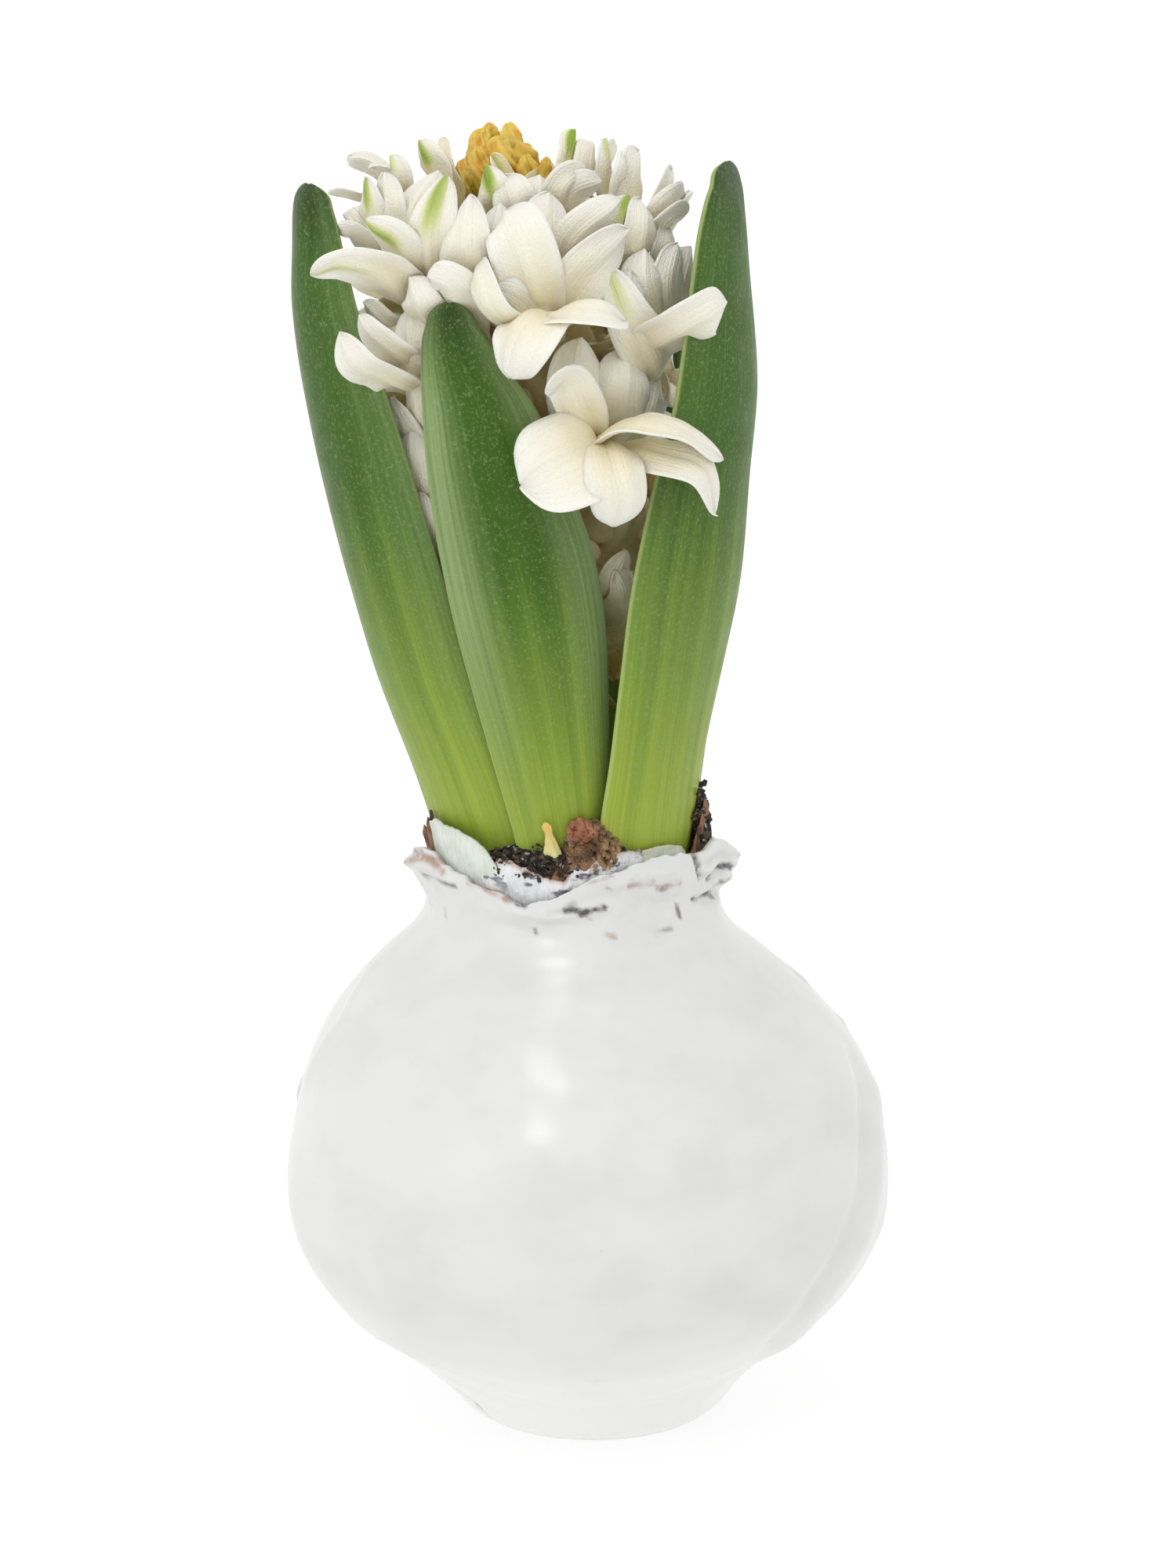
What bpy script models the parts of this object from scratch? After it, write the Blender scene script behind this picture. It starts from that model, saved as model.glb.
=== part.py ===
"""A white hyacinth in flower, growing from a bulb that was dipped in white wax.

Metres, +Z up. The origin is the middle of the flat foot that the bulb stands on, and the
side with the widest open floret faces -Y. Lengths below are in millimetres: MM scales them.
"""
import math
import random

import bmesh
import bpy
from mathutils import Matrix, Vector
from mathutils.bvhtree import BVHTree

MM = 0.001
PART = "waxed_hyacinth"
GAP = 0.3                # clearance between two pieces that touch
SEED = 20
SHARP = math.radians(50)

# The plant leans: its middle line is upright in the bulb and tilts to the left above the neck.
NECK_X = -1.5            # middle of the neck, sideways
NECK_Z = 58.0            # height of the neck's narrowest place
LEAN = -0.0945           # sideways shift for each millimetre of height above the neck
FOOT_X = 0.8             # the foot sits a little to the right

# Wax coat and bulb: turned profiles as (radius, height), from the top down.
TURNS = 34
WAX_OUTSIDE = (
    (17.4, 64.2), (16.8, 62.0), (16.4, 60.0), (17.0, 57.8), (18.5, 55.7), (22.0, 52.7),
    (25.8, 48.9), (29.4, 44.2), (32.0, 38.6), (33.2, 32.5), (33.5, 27.0), (32.9, 22.0),
    (30.8, 17.2), (27.2, 12.6), (22.8, 9.2), (19.6, 6.4), (17.0, 3.8), (15.2, 1.6),
    (13.6, 0.3), (12.6, 0.0), (0.0, 0.0),
)
BULB_SKIN = (
    (15.4, 64.2), (14.6, 60.0), (15.1, 57.8), (17.5, 55.1), (22.3, 50.3), (26.9, 44.5),
    (30.1, 37.2), (31.4, 28.0), (30.0, 19.8), (25.4, 13.2), (19.6, 8.7), (12.6, 4.6), (0.0, 2.6),
)
CRATER = ((0.0, 57.0), (12.6, 57.0), (13.4, 58.2), (13.8, 61.0), (14.4, 64.2))
RIM_Z = 64.2             # even height of both rims, before they are torn
FLARE = 0.2              # how fast both rims widen with height
# Torn rims: (azimuth, half spread, rise). Azimuth 0 faces -Y and grows towards +X.
WAX_TEARS = ((-42, 10, 4.0), (-78, 9, 0.6), (-10, 18, -2.0), (48, 16, 1.6), (80, 10, 1.8),
             (130, 12, -1.2), (175, 16, 0.9), (230, 14, -1.0))
SCALE_TEARS = ((7, 10, 6.6), (76, 8, 6.6), (-80, 6, 5.0), (-45, 10, 1.2), (-24, 8, -1.5),
               (45, 12, -1.2), (150, 14, 2.4), (215, 12, 1.8))
# Broad swellings of the wax: (azimuth, height, azimuth spread, height spread, rise).
WAX_SWELLINGS = ((88, 26, 26, 17, 0.9), (52, 20, 13, 22, -0.7), (-8, 31, 24, 12, 0.5),
                 (-48, 43, 20, 7, -0.6), (-65, 20, 22, 12, 0.5), (18, 47, 18, 6, -0.5),
                 (160, 30, 30, 14, 0.7), (-135, 24, 26, 16, 0.6), (205, 46, 24, 8, -0.6),
                 (125, 12, 22, 7, 0.7), (-20, 12, 24, 6, 0.4))

# Leaves: rows of (height, reach of the outer face from the plant's middle line, left edge,
# right edge), the edges as azimuths.
LEAVES = {
    "leaf_left": (
        (57.4, 12.1, -92, -14), (64, 13.5, -91.5, -15), (70, 14.7, -91, -17),
        (76, 16.2, -89, -21), (87, 19.5, -85, -27.8), (100, 22.4, -80.5, -32),
        (113, 24.3, -79, -36.5), (126, 24.8, -77.5, -46), (133, 24.0, -76, -52),
        (137.2, 23.2, -75, -57), (139.4, 22.6, -66.6, -65.4)),
    "leaf_front": (
        (57.4, 12.1, -21, 25), (64, 13.5, -21, 25), (70, 14.6, -21.5, 25),
        (75, 15.6, -23.6, 25), (84, 17.6, -26.8, 25), (93.5, 20.1, -29, 23.6),
        (102, 21.6, -29.5, 19.6), (110.6, 22.6, -28.6, 11), (117, 22.7, -27.6, 5),
        (121.5, 22.4, -26.8, -3), (125.7, 21.9, -24, -10), (127.9, 21.4, -17.6, -16.4)),
    "leaf_right": (
        (57.4, 12.2, 14.5, 86), (64, 13.6, 14.8, 86), (70, 14.9, 15.6, 85),
        (77.6, 17.0, 20, 80), (87.5, 20.4, 22.8, 76), (97.5, 23.9, 24.9, 71.5),
        (109, 25.9, 31.5, 71.5), (117, 27.0, 37.3, 74), (122, 27.3, 40.2, 74),
        (130.5, 27.2, 46, 74), (136.0, 27.0, 51, 75.5), (139.8, 26.8, 57, 75),
        (141.9, 26.4, 66, 67)),
    "leaf_back_right": (
        (57.4, 12.1, 81, 175), (64, 13.4, 82, 175), (72, 15.2, 86, 172),
        (85, 18.2, 93, 163), (98, 20.6, 100, 155), (110, 21.8, 107, 148),
        (117, 21.9, 114, 140), (120.6, 21.6, 122, 132), (121.8, 21.4, 126.4, 127.6)),
    "leaf_back_left": (
        (57.4, 12.1, 170, 273), (64, 13.4, 171, 273), (72, 15.1, 176, 270),
        (85, 17.9, 186, 263), (98, 20.2, 196, 254), (108, 21.3, 204, 246),
        (114, 21.4, 212, 239), (117.6, 21.1, 220, 231), (118.8, 20.9, 224.9, 226.1)),
}
LEAF_ROWS = 13
LEAF_COLUMNS = 6
LEAF_THICK = 2.6
LEAF_EDGE = 0.9
LEAF_WRAP = 1.25         # each leaf's left edge lies this far outside its middle

# Flower head
STEM_RADIUS = 5.2
STEM_TOP = 83.0
HEAD_CORE = ((83.4, 4.6), (88, 7.0), (97, 9.0), (110, 10.4), (122, 10.4), (130, 8.6),
             (134.4, 4.0))
HEAD_REACH = ((84, 12.0), (94, 16.5), (106, 19.0), (118, 20.5), (127, 20.0), (133, 17.5),
              (137, 13.5))
FLORETS = 26
FLORET_LOW = 89.0
FLORET_HIGH = 136.5
FLORET_SPREAD = 8.5      # how far a floret's mouth lies inside the reach of its petals
TURN = math.radians(137.508)
PETAL_THICK = 0.7
PETAL_ROWS = (0.0, 0.45, 0.78, 1.0)
PETAL_WIDTHS = (0.32, 0.85, 0.95, 0.3)
TUBE_LENGTH = 9.0
CLAW_DEPTH = 7.0         # a petal's claw starts this far from the middle line
CLAW_DROP = 4.0
# The petals of the front, each (width, cup, roll, points from the floret's throat to the tip).
FRONT_PETALS = (
    # the wide open floret, low on the right
    (9.5, 0.10, 0, ((2.0, -19.0, 112.5), (-1.5, -24.5, 112.5), (-4.5, -24.5, 106.0))),
    (6.0, 0.30, 20, ((2.5, -19.5, 113.0), (4.5, -25.5, 112.0), (3.5, -24.5, 105.0))),
    (6.0, 0.30, 0, ((1.5, -19.0, 113.5), (8.5, -24.0, 115.5), (13.5, -22.0, 113.0),
                    (15.5, -19.0, 109.5))),
    (5.5, 0.25, 30, ((3.0, -19.5, 112.5), (9.0, -24.5, 111.5), (13.5, -22.5, 108.5),
                     (14.0, -20.5, 104.0))),
    (5.5, 0.15, 0, ((1.0, -18.0, 113.0), (-0.5, -20.5, 117.0), (-3.0, -24.0, 119.0))),
    # upright petals behind it
    (6.0, 0.30, 0, ((0.5, -14.0, 113.5), (-1.0, -19.0, 120.0), (-0.5, -17.5, 124.5))),
    (5.5, 0.30, 0, ((3.0, -13.0, 113.5), (3.5, -18.0, 119.0), (2.0, -17.0, 124.0))),
    (4.0, 0.30, 0, ((5.5, -11.0, 114.0), (8.0, -15.5, 117.5), (7.0, -15.0, 119.5))),
    # the floret above it, whose petals hang left and reach right
    (8.0, 0.10, 0, ((-2.0, -17.0, 125.0), (-4.5, -22.5, 127.0), (-6.0, -24.5, 123.5),
                    (-5.0, -23.5, 119.0))),
    (5.5, 0.25, 0, ((-4.0, -17.0, 125.0), (-0.5, -22.5, 127.5), (3.0, -23.5, 127.5), (5.0, -21.5, 124.5))),
    (5.5, 0.12, 0, ((-6.5, -15.0, 126.0), (-6.5, -21.0, 132.5), (-8.5, -22.0, 138.0))),
    (5.0, 0.10, 0, ((-7.0, -17.0, 126.0), (-8.5, -22.5, 128.5), (-10.5, -23.5, 132.5))),
    # keeled and rounded petals left of the middle
    (5.5, 0.35, 0, ((-12.0, -13.0, 128.5), (-13.0, -19.0, 135.0), (-12.0, -17.0, 139.0))),
    (4.5, 0.35, 0, ((-15.0, -10.0, 130.0), (-16.5, -15.5, 136.5), (-15.0, -14.0, 141.0))),
    (6.5, 0.25, 0, ((-13.0, -13.0, 124.5), (-15.0, -18.5, 129.0), (-15.5, -18.0, 131.5))),
    # petals that curl out over the left leaf
    (7.0, 0.10, 0, ((-18.0, -9.0, 127.5), (-22.0, -16.0, 132.5), (-26.0, -18.0, 133.0),
                    (-29.0, -17.0, 131.0))),
    (6.0, 0.20, 0, ((-17.0, -9.0, 117.5), (-22.0, -18.0, 120.0), (-24.5, -19.5, 123.5),
                    (-26.5, -19.0, 126.0))),
    # tips along the top left
    (4.5, 0.20, 0, ((-17.0, -5.0, 134.5), (-19.0, -6.0, 141.0), (-19.5, -5.0, 143.0),
                    (-17.0, -4.0, 143.5))),
    (4.0, 0.20, 0, ((-18.5, -7.0, 136.0), (-20.0, -9.0, 141.0), (-19.5, -8.0, 143.0))),
    (4.5, 0.20, 0, ((-20.0, -10.0, 131.5), (-23.5, -13.5, 137.5), (-23.5, -12.0, 140.5))),
    (5.5, 0.15, 0, ((-17.5, -10.0, 129.0), (-21.0, -16.5, 134.0), (-23.0, -16.0, 136.5))),
    (4.5, 0.10, 0, ((-20.0, 2.0, 136.0), (-23.0, 3.0, 141.0), (-26.0, 3.0, 141.5))),
    (4.0, 0.10, 0, ((-22.0, -1.0, 135.5), (-25.5, -2.0, 138.0), (-28.0, -1.0, 138.0))),
    # tips along the top right
    (4.0, 0.20, 0, ((-1.0, -5.0, 136.0), (-1.5, -6.0, 141.5), (-1.5, -5.0, 145.5))),
    (3.5, 0.20, 0, ((1.0, -5.0, 136.0), (2.5, -6.0, 141.0), (2.0, -5.0, 144.0))),
    (5.5, 0.20, 0, ((4.0, -2.0, 133.5), (6.5, -1.0, 139.0), (5.0, 1.0, 142.5))),
    (5.0, 0.10, 0, ((6.0, -6.0, 132.5), (9.0, -8.0, 137.0), (11.5, -6.0, 138.5))),
    (6.5, 0.20, 0, ((-2.0, -11.0, 130.5), (-1.5, -16.0, 137.0), (1.0, -12.0, 139.5))),
    (5.0, 0.20, 0, ((1.5, -12.0, 130.5), (3.0, -15.5, 135.5), (4.5, -12.0, 138.5))),
    # petals right of the middle
    (8.0, 0.20, 0, ((-3.5, -14.0, 126.0), (0.0, -19.5, 132.0), (4.5, -18.0, 136.0))),
    (4.5, 0.10, 0, ((3.5, -14.0, 124.0), (3.5, -19.0, 129.0), (1.5, -19.5, 131.5))),
    (4.5, 0.30, 0, ((5.5, -11.0, 123.5), (5.5, -16.5, 129.5), (6.0, -15.0, 133.5))),
    (4.5, 0.30, 0, ((7.5, -8.0, 123.0), (8.0, -13.5, 129.5), (7.5, -12.0, 134.5))),
    (4.0, 0.30, 0, ((8.5, -6.0, 123.0), (10.0, -10.5, 129.0), (10.5, -9.0, 132.5))),
    (7.0, 0.15, 0, ((5.5, -11.0, 121.5), (9.0, -19.0, 124.0), (13.0, -20.5, 127.0),
                    (14.5, -19.0, 128.0))),
    # tips in front of the withered buds
    (4.5, 0.15, 0, ((-7.0, -7.0, 133.0), (-9.0, -10.0, 138.5), (-10.5, -8.0, 142.0))),
    (5.0, 0.15, 0, ((-5.0, -6.0, 133.0), (-6.0, -9.5, 138.5), (-6.5, -8.0, 140.5))),
    # petals seen low between the leaves
    (5.0, 0.20, 0, ((-16.0, -9.0, 115.0), (-19.0, -15.5, 122.5), (-18.0, -15.5, 127.0))),
    (4.0, 0.20, 0, ((-16.5, -9.0, 107.0), (-18.0, -15.5, 113.5), (-18.5, -15.5, 118.0))),
    (5.0, 0.10, 0, ((2.5, -9.0, 92.5), (2.5, -14.0, 98.5), (3.5, -15.0, 102.0))),
    (4.5, 0.10, 0, ((3.5, -8.0, 87.0), (3.0, -13.0, 93.5), (4.0, -14.0, 97.5))),
)

# Withered buds at the tip, and the side shoot at the neck
BUD_FOOT = 135.0
BUD_TOP = 145.7
BUD_ROOM = 5.6           # petals stay this far from the middle line beside the buds
SHOOT_AZIMUTH = -8.0
SHOOT_REACH = 15.5
SHOOT_TOP = 71.6

COLOURS = {
    "wax_coat": (0.80, 0.81, 0.80, 0.28),
    "bulb": (0.17, 0.09, 0.05, 0.85),
    "leaf": (0.13, 0.25, 0.06, 0.42),
    "flower_stem": (0.28, 0.42, 0.08, 0.5),
    "flower_head": (0.84, 0.80, 0.68, 0.5),
    "apex_buds": (0.62, 0.40, 0.07, 0.6),
    "side_shoot": (0.62, 0.52, 0.13, 0.5),
}


def clear_scene():
    """Start from an empty file."""
    for obj in list(bpy.data.objects):
        bpy.data.objects.remove(obj, do_unlink=True)


def make_collection(name):
    collection = bpy.data.collections.new(name)
    bpy.context.scene.collection.children.link(collection)
    return collection


def make_material(name):
    red, green, blue, roughness = COLOURS[name]
    material = bpy.data.materials.new(name)
    material.use_nodes = True
    shader = material.node_tree.nodes["Principled BSDF"]
    shader.inputs["Base Color"].default_value = (red, green, blue, 1.0)
    shader.inputs["Roughness"].default_value = roughness
    shader.inputs["Metallic"].default_value = 0.0
    return material


def add_object(name, bm, collection, material=None):
    """Turn a bmesh in millimetres into an object in metres."""
    bmesh.ops.scale(bm, vec=(MM, MM, MM), verts=bm.verts)
    mesh = bpy.data.meshes.new(name)
    bm.to_mesh(mesh)
    bm.free()
    obj = bpy.data.objects.new(name, mesh)
    collection.objects.link(obj)
    if material:
        mesh.materials.append(material)
    return obj


def smooth(obj):
    """Shade an object smooth, but for its sharp edges."""
    obj.data.shade_smooth()
    obj.data.set_sharp_from_angle(angle=SHARP)


def smoothstep(x):
    x = min(max(x, 0.0), 1.0)
    return x * x * (3.0 - 2.0 * x)


def middle_x(height):
    """Sideways place of the plant's middle line."""
    foot = FOOT_X * (1.0 - smoothstep(height / 10.0))
    neck = NECK_X * smoothstep((height - 38.0) / 18.0)
    return foot + neck + LEAN * max(height - NECK_Z, 0.0)


def around(height, azimuth, reach):
    """The point at a reach from the middle line; azimuth is in degrees."""
    angle = math.radians(azimuth)
    return Vector((middle_x(height) + reach * math.sin(angle), -reach * math.cos(angle), height))


def turn_between(azimuth, centre):
    """The turn from centre to azimuth, within half a circle either way."""
    return (azimuth - centre + 180.0) % 360.0 - 180.0


def read_rows(rows, height):
    """Smooth values between rows whose first number is a height."""
    last = len(rows) - 1
    i = 0
    while i < last - 1 and height > rows[i + 1][0]:
        i += 1
    span = rows[i + 1][0] - rows[i][0]
    t = min(max((height - rows[i][0]) / span, 0.0), 1.0)
    before = rows[max(i - 1, 0)]
    after = rows[min(i + 2, last)]
    values = []
    for k in range(1, len(rows[0])):
        start, end = rows[i][k], rows[i + 1][k]
        slope_in = (end - before[k]) / (rows[i + 1][0] - before[0]) * span
        slope_out = (after[k] - start) / (after[0] - rows[i][0]) * span
        cube = 2.0 * (start - end) + slope_in + slope_out
        square = -3.0 * (start - end) - 2.0 * slope_in - slope_out
        values.append(((cube * t + square) * t + slope_in) * t + start)
    return values


# ---------------------------------------------------------------- bulb and wax


def turned(name, profile, collection):
    """Turn a profile round the Z axis and keep the result as a mesh."""
    bm = bmesh.new()
    verts = [bm.verts.new((radius, 0.0, height)) for radius, height in profile]
    for upper, lower in zip(verts, verts[1:]):
        bm.edges.new((upper, lower))
    obj = add_object(name, bm, collection)
    screw = obj.modifiers.new("turn", "SCREW")
    screw.axis = "Z"
    screw.angle = math.tau
    screw.steps = TURNS
    screw.render_steps = TURNS
    screw.use_merge_vertices = True
    screw.merge_threshold = 0.00001
    keep_evaluated(obj)
    return obj


def keep_evaluated(obj):
    """Apply an object's modifiers."""
    graph = bpy.context.evaluated_depsgraph_get()
    mesh = bpy.data.meshes.new_from_object(obj.evaluated_get(graph))
    obj.modifiers.clear()
    obj.data = mesh


def torn_rise(azimuth, tears):
    """How far a torn rim stands above its even height."""
    rise = 0.35 * math.sin(math.radians(azimuth * 7.0))
    rise += 0.25 * math.sin(math.radians(azimuth * 13.0))
    for centre, spread, height in tears:
        rise += height * math.exp(-(turn_between(azimuth, centre) / spread) ** 2)
    return rise


def swelling(azimuth, height):
    """How far the wax stands out from its even profile."""
    rise = 0.0
    for centre, level, wide, tall, amount in WAX_SWELLINGS:
        across = turn_between(azimuth, centre) / wide
        rise += amount * math.exp(-across ** 2 - ((height - level) / tall) ** 2)
    return rise


def shape_turned(obj, tears, outside=None):
    """Tear the rim, swell the outside and move the rings onto the middle line."""
    for vert in obj.data.vertices:
        x, y, height = vert.co / MM
        radius = math.hypot(x, y)
        azimuth = math.degrees(math.atan2(x, -y))
        if height > NECK_Z:
            stretch = (height - NECK_Z) / (RIM_Z - NECK_Z)
            rise = stretch ** 2.5 * torn_rise(azimuth, tears)
            height += rise
            radius += FLARE * rise
        if outside and height < RIM_Z and radius > outside(height):
            radius += swelling(azimuth, height) * smoothstep(height / 6.0)
        if radius > 0.01:
            x = radius * math.sin(math.radians(azimuth))
            y = -radius * math.cos(math.radians(azimuth))
        vert.co = Vector((x + middle_x(height), y, height)) * MM


def offset_profile(profile, distance):
    """Move each profile point out along the profile's normal; the ends stay on the axis."""
    moved = []
    for i, (radius, height) in enumerate(profile):
        above = profile[max(i - 1, 0)]
        below = profile[min(i + 1, len(profile) - 1)]
        along = Vector((below[0] - above[0], below[1] - above[1])).normalized()
        step = Vector((-along.y, along.x)) * distance
        if radius == 0.0:
            step.x = 0.0
        moved.append((radius + step.x, height + step.y))
    return moved


def make_wax(collection):
    inside = offset_profile(BULB_SKIN, GAP)
    rising = list(reversed(inside))
    obj = turned("wax_coat", rising + list(WAX_OUTSIDE), collection)
    rows = [(height, radius) for radius, height in reversed(inside)]
    shape_turned(obj, WAX_TEARS, lambda height: read_rows(rows, height)[0] + 0.6)
    obj.data.materials.append(make_material("wax_coat"))
    smooth(obj)


def make_bulb(collection):
    obj = turned("bulb", list(CRATER) + list(BULB_SKIN), collection)
    shape_turned(obj, SCALE_TEARS)
    obj.data.materials.append(make_material("bulb"))
    smooth(obj)


# ---------------------------------------------------------------- leaves and stem


def blade(bm, outer_rows, inner_rows):
    """Loft one closed blade; both faces are split into triangles alike."""
    outer = [[bm.verts.new(point) for point in row] for row in outer_rows]
    inner = [[bm.verts.new(point) for point in row] for row in inner_rows]
    columns = len(outer[0]) - 1

    def quad(a, b, c, d):
        bm.faces.new((a, b, c))
        bm.faces.new((a, c, d))

    for low in range(len(outer) - 1):
        up = low + 1
        for left in range(columns):
            right = left + 1
            quad(outer[low][left], outer[low][right], outer[up][right], outer[up][left])
            quad(inner[low][left], inner[up][left], inner[up][right], inner[low][right])
            # the same diagonal on both faces: it runs from low left to up right
        quad(inner[low][0], outer[low][0], outer[up][0], inner[up][0])
        quad(outer[low][-1], inner[low][-1], inner[up][-1], outer[up][-1])
    for left in range(columns):
        right = left + 1
        quad(inner[0][left], inner[0][right], outer[0][right], outer[0][left])
        quad(outer[-1][left], outer[-1][right], inner[-1][right], inner[-1][left])


def leaf_rows(rows, grow=0.0):
    """Outer and inner points of a leaf; grow thickens it all round."""
    low, high = rows[0][0], rows[-1][0]
    outer_rows, inner_rows = [], []
    for i in range(LEAF_ROWS + 1):
        share = 1.0 - (1.0 - i / LEAF_ROWS) ** 1.55
        height = low + (high - low) * share
        reach, left, right = read_rows(rows, height)
        widen = math.degrees(grow / reach)
        left, right = left - widen, right + widen
        middle = LEAF_THICK * (1.0 - 0.35 * share - 0.3 * smoothstep((share - 0.9) * 10.0))
        channel = 1.1 * smoothstep((height - 75.0) / 25.0) * min((right - left) / 40.0, 1.0)
        outer, inner = [], []
        for k in range(LEAF_COLUMNS + 1):
            side = 2.0 * k / LEAF_COLUMNS - 1.0
            azimuth = left + (right - left) * k / LEAF_COLUMNS
            half = (LEAF_EDGE + (middle - LEAF_EDGE) * (1.0 - side * side)) / 2.0 + grow
            centre = reach - middle / 2.0 - LEAF_WRAP * side * (1.0 - 0.4 * share) - channel * side * side
            outer.append(around(height, azimuth, centre + half))
            inner.append(around(height, azimuth, centre - half))
        outer_rows.append(outer)
        inner_rows.append(inner)
    return outer_rows, inner_rows


def make_leaves(collection):
    """All leaves, with one surface of them for the petals to keep clear of."""
    every = bmesh.new()
    for name, rows in LEAVES.items():
        bm = bmesh.new()
        blade(bm, *leaf_rows(rows))
        smooth(add_object(name, bm, collection, make_material("leaf")))
        blade(every, *leaf_rows(rows))
    return BVHTree.FromBMesh(every)


def leaf_cutter(rows, name, collection):
    """A leaf with the clearance added all round."""
    bm = bmesh.new()
    blade(bm, *leaf_rows(rows, grow=GAP))
    cutter = add_object(name + "_cutter", bm, collection)
    cutter.hide_render = True
    cutter.display_type = "WIRE"
    return cutter


def upright(bm, low, high, sides, low_radius, high_radius):
    """An upright cone between two heights."""
    bmesh.ops.create_cone(bm, cap_ends=True, segments=sides, radius1=low_radius,
                          radius2=high_radius, depth=high - low)
    bmesh.ops.translate(bm, vec=(0, 0, (high + low) / 2.0), verts=bm.verts)


def lean_on_middle(bm, scale_at):
    """Widen each level of an upright unit body by scale_at and move it onto the middle line."""
    for vert in bm.verts:
        radius = scale_at(vert.co.z)
        vert.co.x = vert.co.x * radius + middle_x(vert.co.z)
        vert.co.y *= radius


def make_stem(collection):
    low = CRATER[0][1] + GAP
    bm = bmesh.new()
    upright(bm, low, STEM_TOP, 14, 1.0, 1.0)
    lean_on_middle(bm, lambda height: STEM_RADIUS * (1.0 - 0.15 * smoothstep((height - low) / 25.0)))
    smooth(add_object("flower_stem", bm, collection, make_material("flower_stem")))


# ---------------------------------------------------------------- flower head


def spine_point(points, share):
    """A point on a smooth curve through the points, at a share of its length."""
    lengths = [0.0]
    for start, end in zip(points, points[1:]):
        lengths.append(lengths[-1] + (end - start).length)
    rows = [(length, *point) for length, point in zip(lengths, points)]
    return Vector(read_rows(rows, share * lengths[-1]))


def clear_of_leaves(point, leaves):
    """Pull a point in from a leaf's inner face, or push it out from the outer one or the buds."""
    origin = Vector((middle_x(point.z), 0.0, point.z))
    ray = Vector((point.x - origin.x, point.y, 0.0))
    reach = ray.length
    if reach < 1.0:
        return point
    ray /= reach
    if point.z > BUD_FOOT - 0.5 and reach < BUD_ROOM:
        return origin + ray * BUD_ROOM
    far = 60.0
    inner, _, _, inside = leaves.ray_cast(origin, ray, far)
    if inner is None:
        return point
    outside = far - leaves.ray_cast(origin + ray * far, -ray, far)[3]
    room = PETAL_THICK / 2.0 + GAP + 0.35
    if reach < inside - room or reach > outside + room:
        return point
    if reach < (inside + outside) / 2.0:
        return origin + ray * (inside - room)
    return origin + ray * (outside + room)


def petal(bm, points, facing, width, cup, roll, leaves):
    """One petal along a smooth line; its inner face starts towards facing."""
    count = len(PETAL_ROWS)
    path = [spine_point(points, share) for share in PETAL_ROWS]
    ahead = None
    outer_rows, inner_rows = [], []
    for i in range(count):
        along = (path[min(i + 1, count - 1)] - path[max(i - 1, 0)]).normalized()
        if ahead is not None:
            facing = ahead.rotation_difference(along) @ facing
        facing = (facing - along * facing.dot(along)).normalized()
        ahead = along
        face = Matrix.Rotation(math.radians(roll), 3, along) @ facing
        across = along.cross(face)
        half = width * PETAL_WIDTHS[i] / 2.0
        outer, inner = [], []
        for side in (-1.0, 0.0, 1.0):
            centre = path[i] + across * half * side + face * cup * half * 2.0 * (side * side - 0.4)
            centre = clear_of_leaves(centre, leaves)
            normal = (face - across * side * cup * 2.0).normalized()
            outer.append(centre + normal * PETAL_THICK / 2.0)
            inner.append(centre - normal * PETAL_THICK / 2.0)
        outer_rows.append(outer)
        inner_rows.append(inner)
    blade(bm, outer_rows, inner_rows)


def add_piece(draw, name, collection, *arguments):
    bm = bmesh.new()
    draw(bm, *arguments)
    bmesh.ops.recalc_face_normals(bm, faces=bm.faces)
    return add_object(name, bm, collection)


def front_petal(bm, entry, leaves):
    width, cup, roll, places = entry
    points = [Vector(place) for place in places]
    throat = points[0]
    offset = Vector((throat.x - middle_x(throat.z), throat.y, 0.0))
    root = Vector((middle_x(throat.z), 0.0, throat.z - CLAW_DROP)) + offset.normalized() * CLAW_DEPTH
    petal(bm, [root] + points, Vector((0.0, 0.0, 1.0)), width, cup, roll, leaves)


def floret(bm, throat, axis, petals, leaves):
    """A six-sided tube whose side faces, just below its mouth, are drawn out into petals."""
    bmesh.ops.create_cone(bm, cap_ends=True, segments=6, radius1=1.8, radius2=2.4, depth=TUBE_LENGTH)
    whole = bm.verts[:] + bm.edges[:] + bm.faces[:]
    band = TUBE_LENGTH / 2.0 - PETAL_THICK
    bmesh.ops.bisect_plane(bm, geom=whole, plane_co=(0, 0, band), plane_no=(0, 0, 1))
    turn = axis.to_track_quat("Z", "Y").to_matrix().to_4x4()
    place = Matrix.Translation(throat - axis * TUBE_LENGTH / 2.0)
    bmesh.ops.transform(bm, matrix=place @ turn, verts=bm.verts)
    bm.normal_update()
    mouth = throat - axis * PETAL_THICK / 2.0
    sides = [face for face in bm.faces if (face.calc_center_median() - mouth).dot(axis) > -0.3]
    sides = [face for face in sides if abs(face.normal.dot(axis)) < 0.5]
    for face, (length, width, opening) in zip(sides, petals):
        draw_petal(bm, face, mouth, axis, length, width, opening, leaves)


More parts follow.
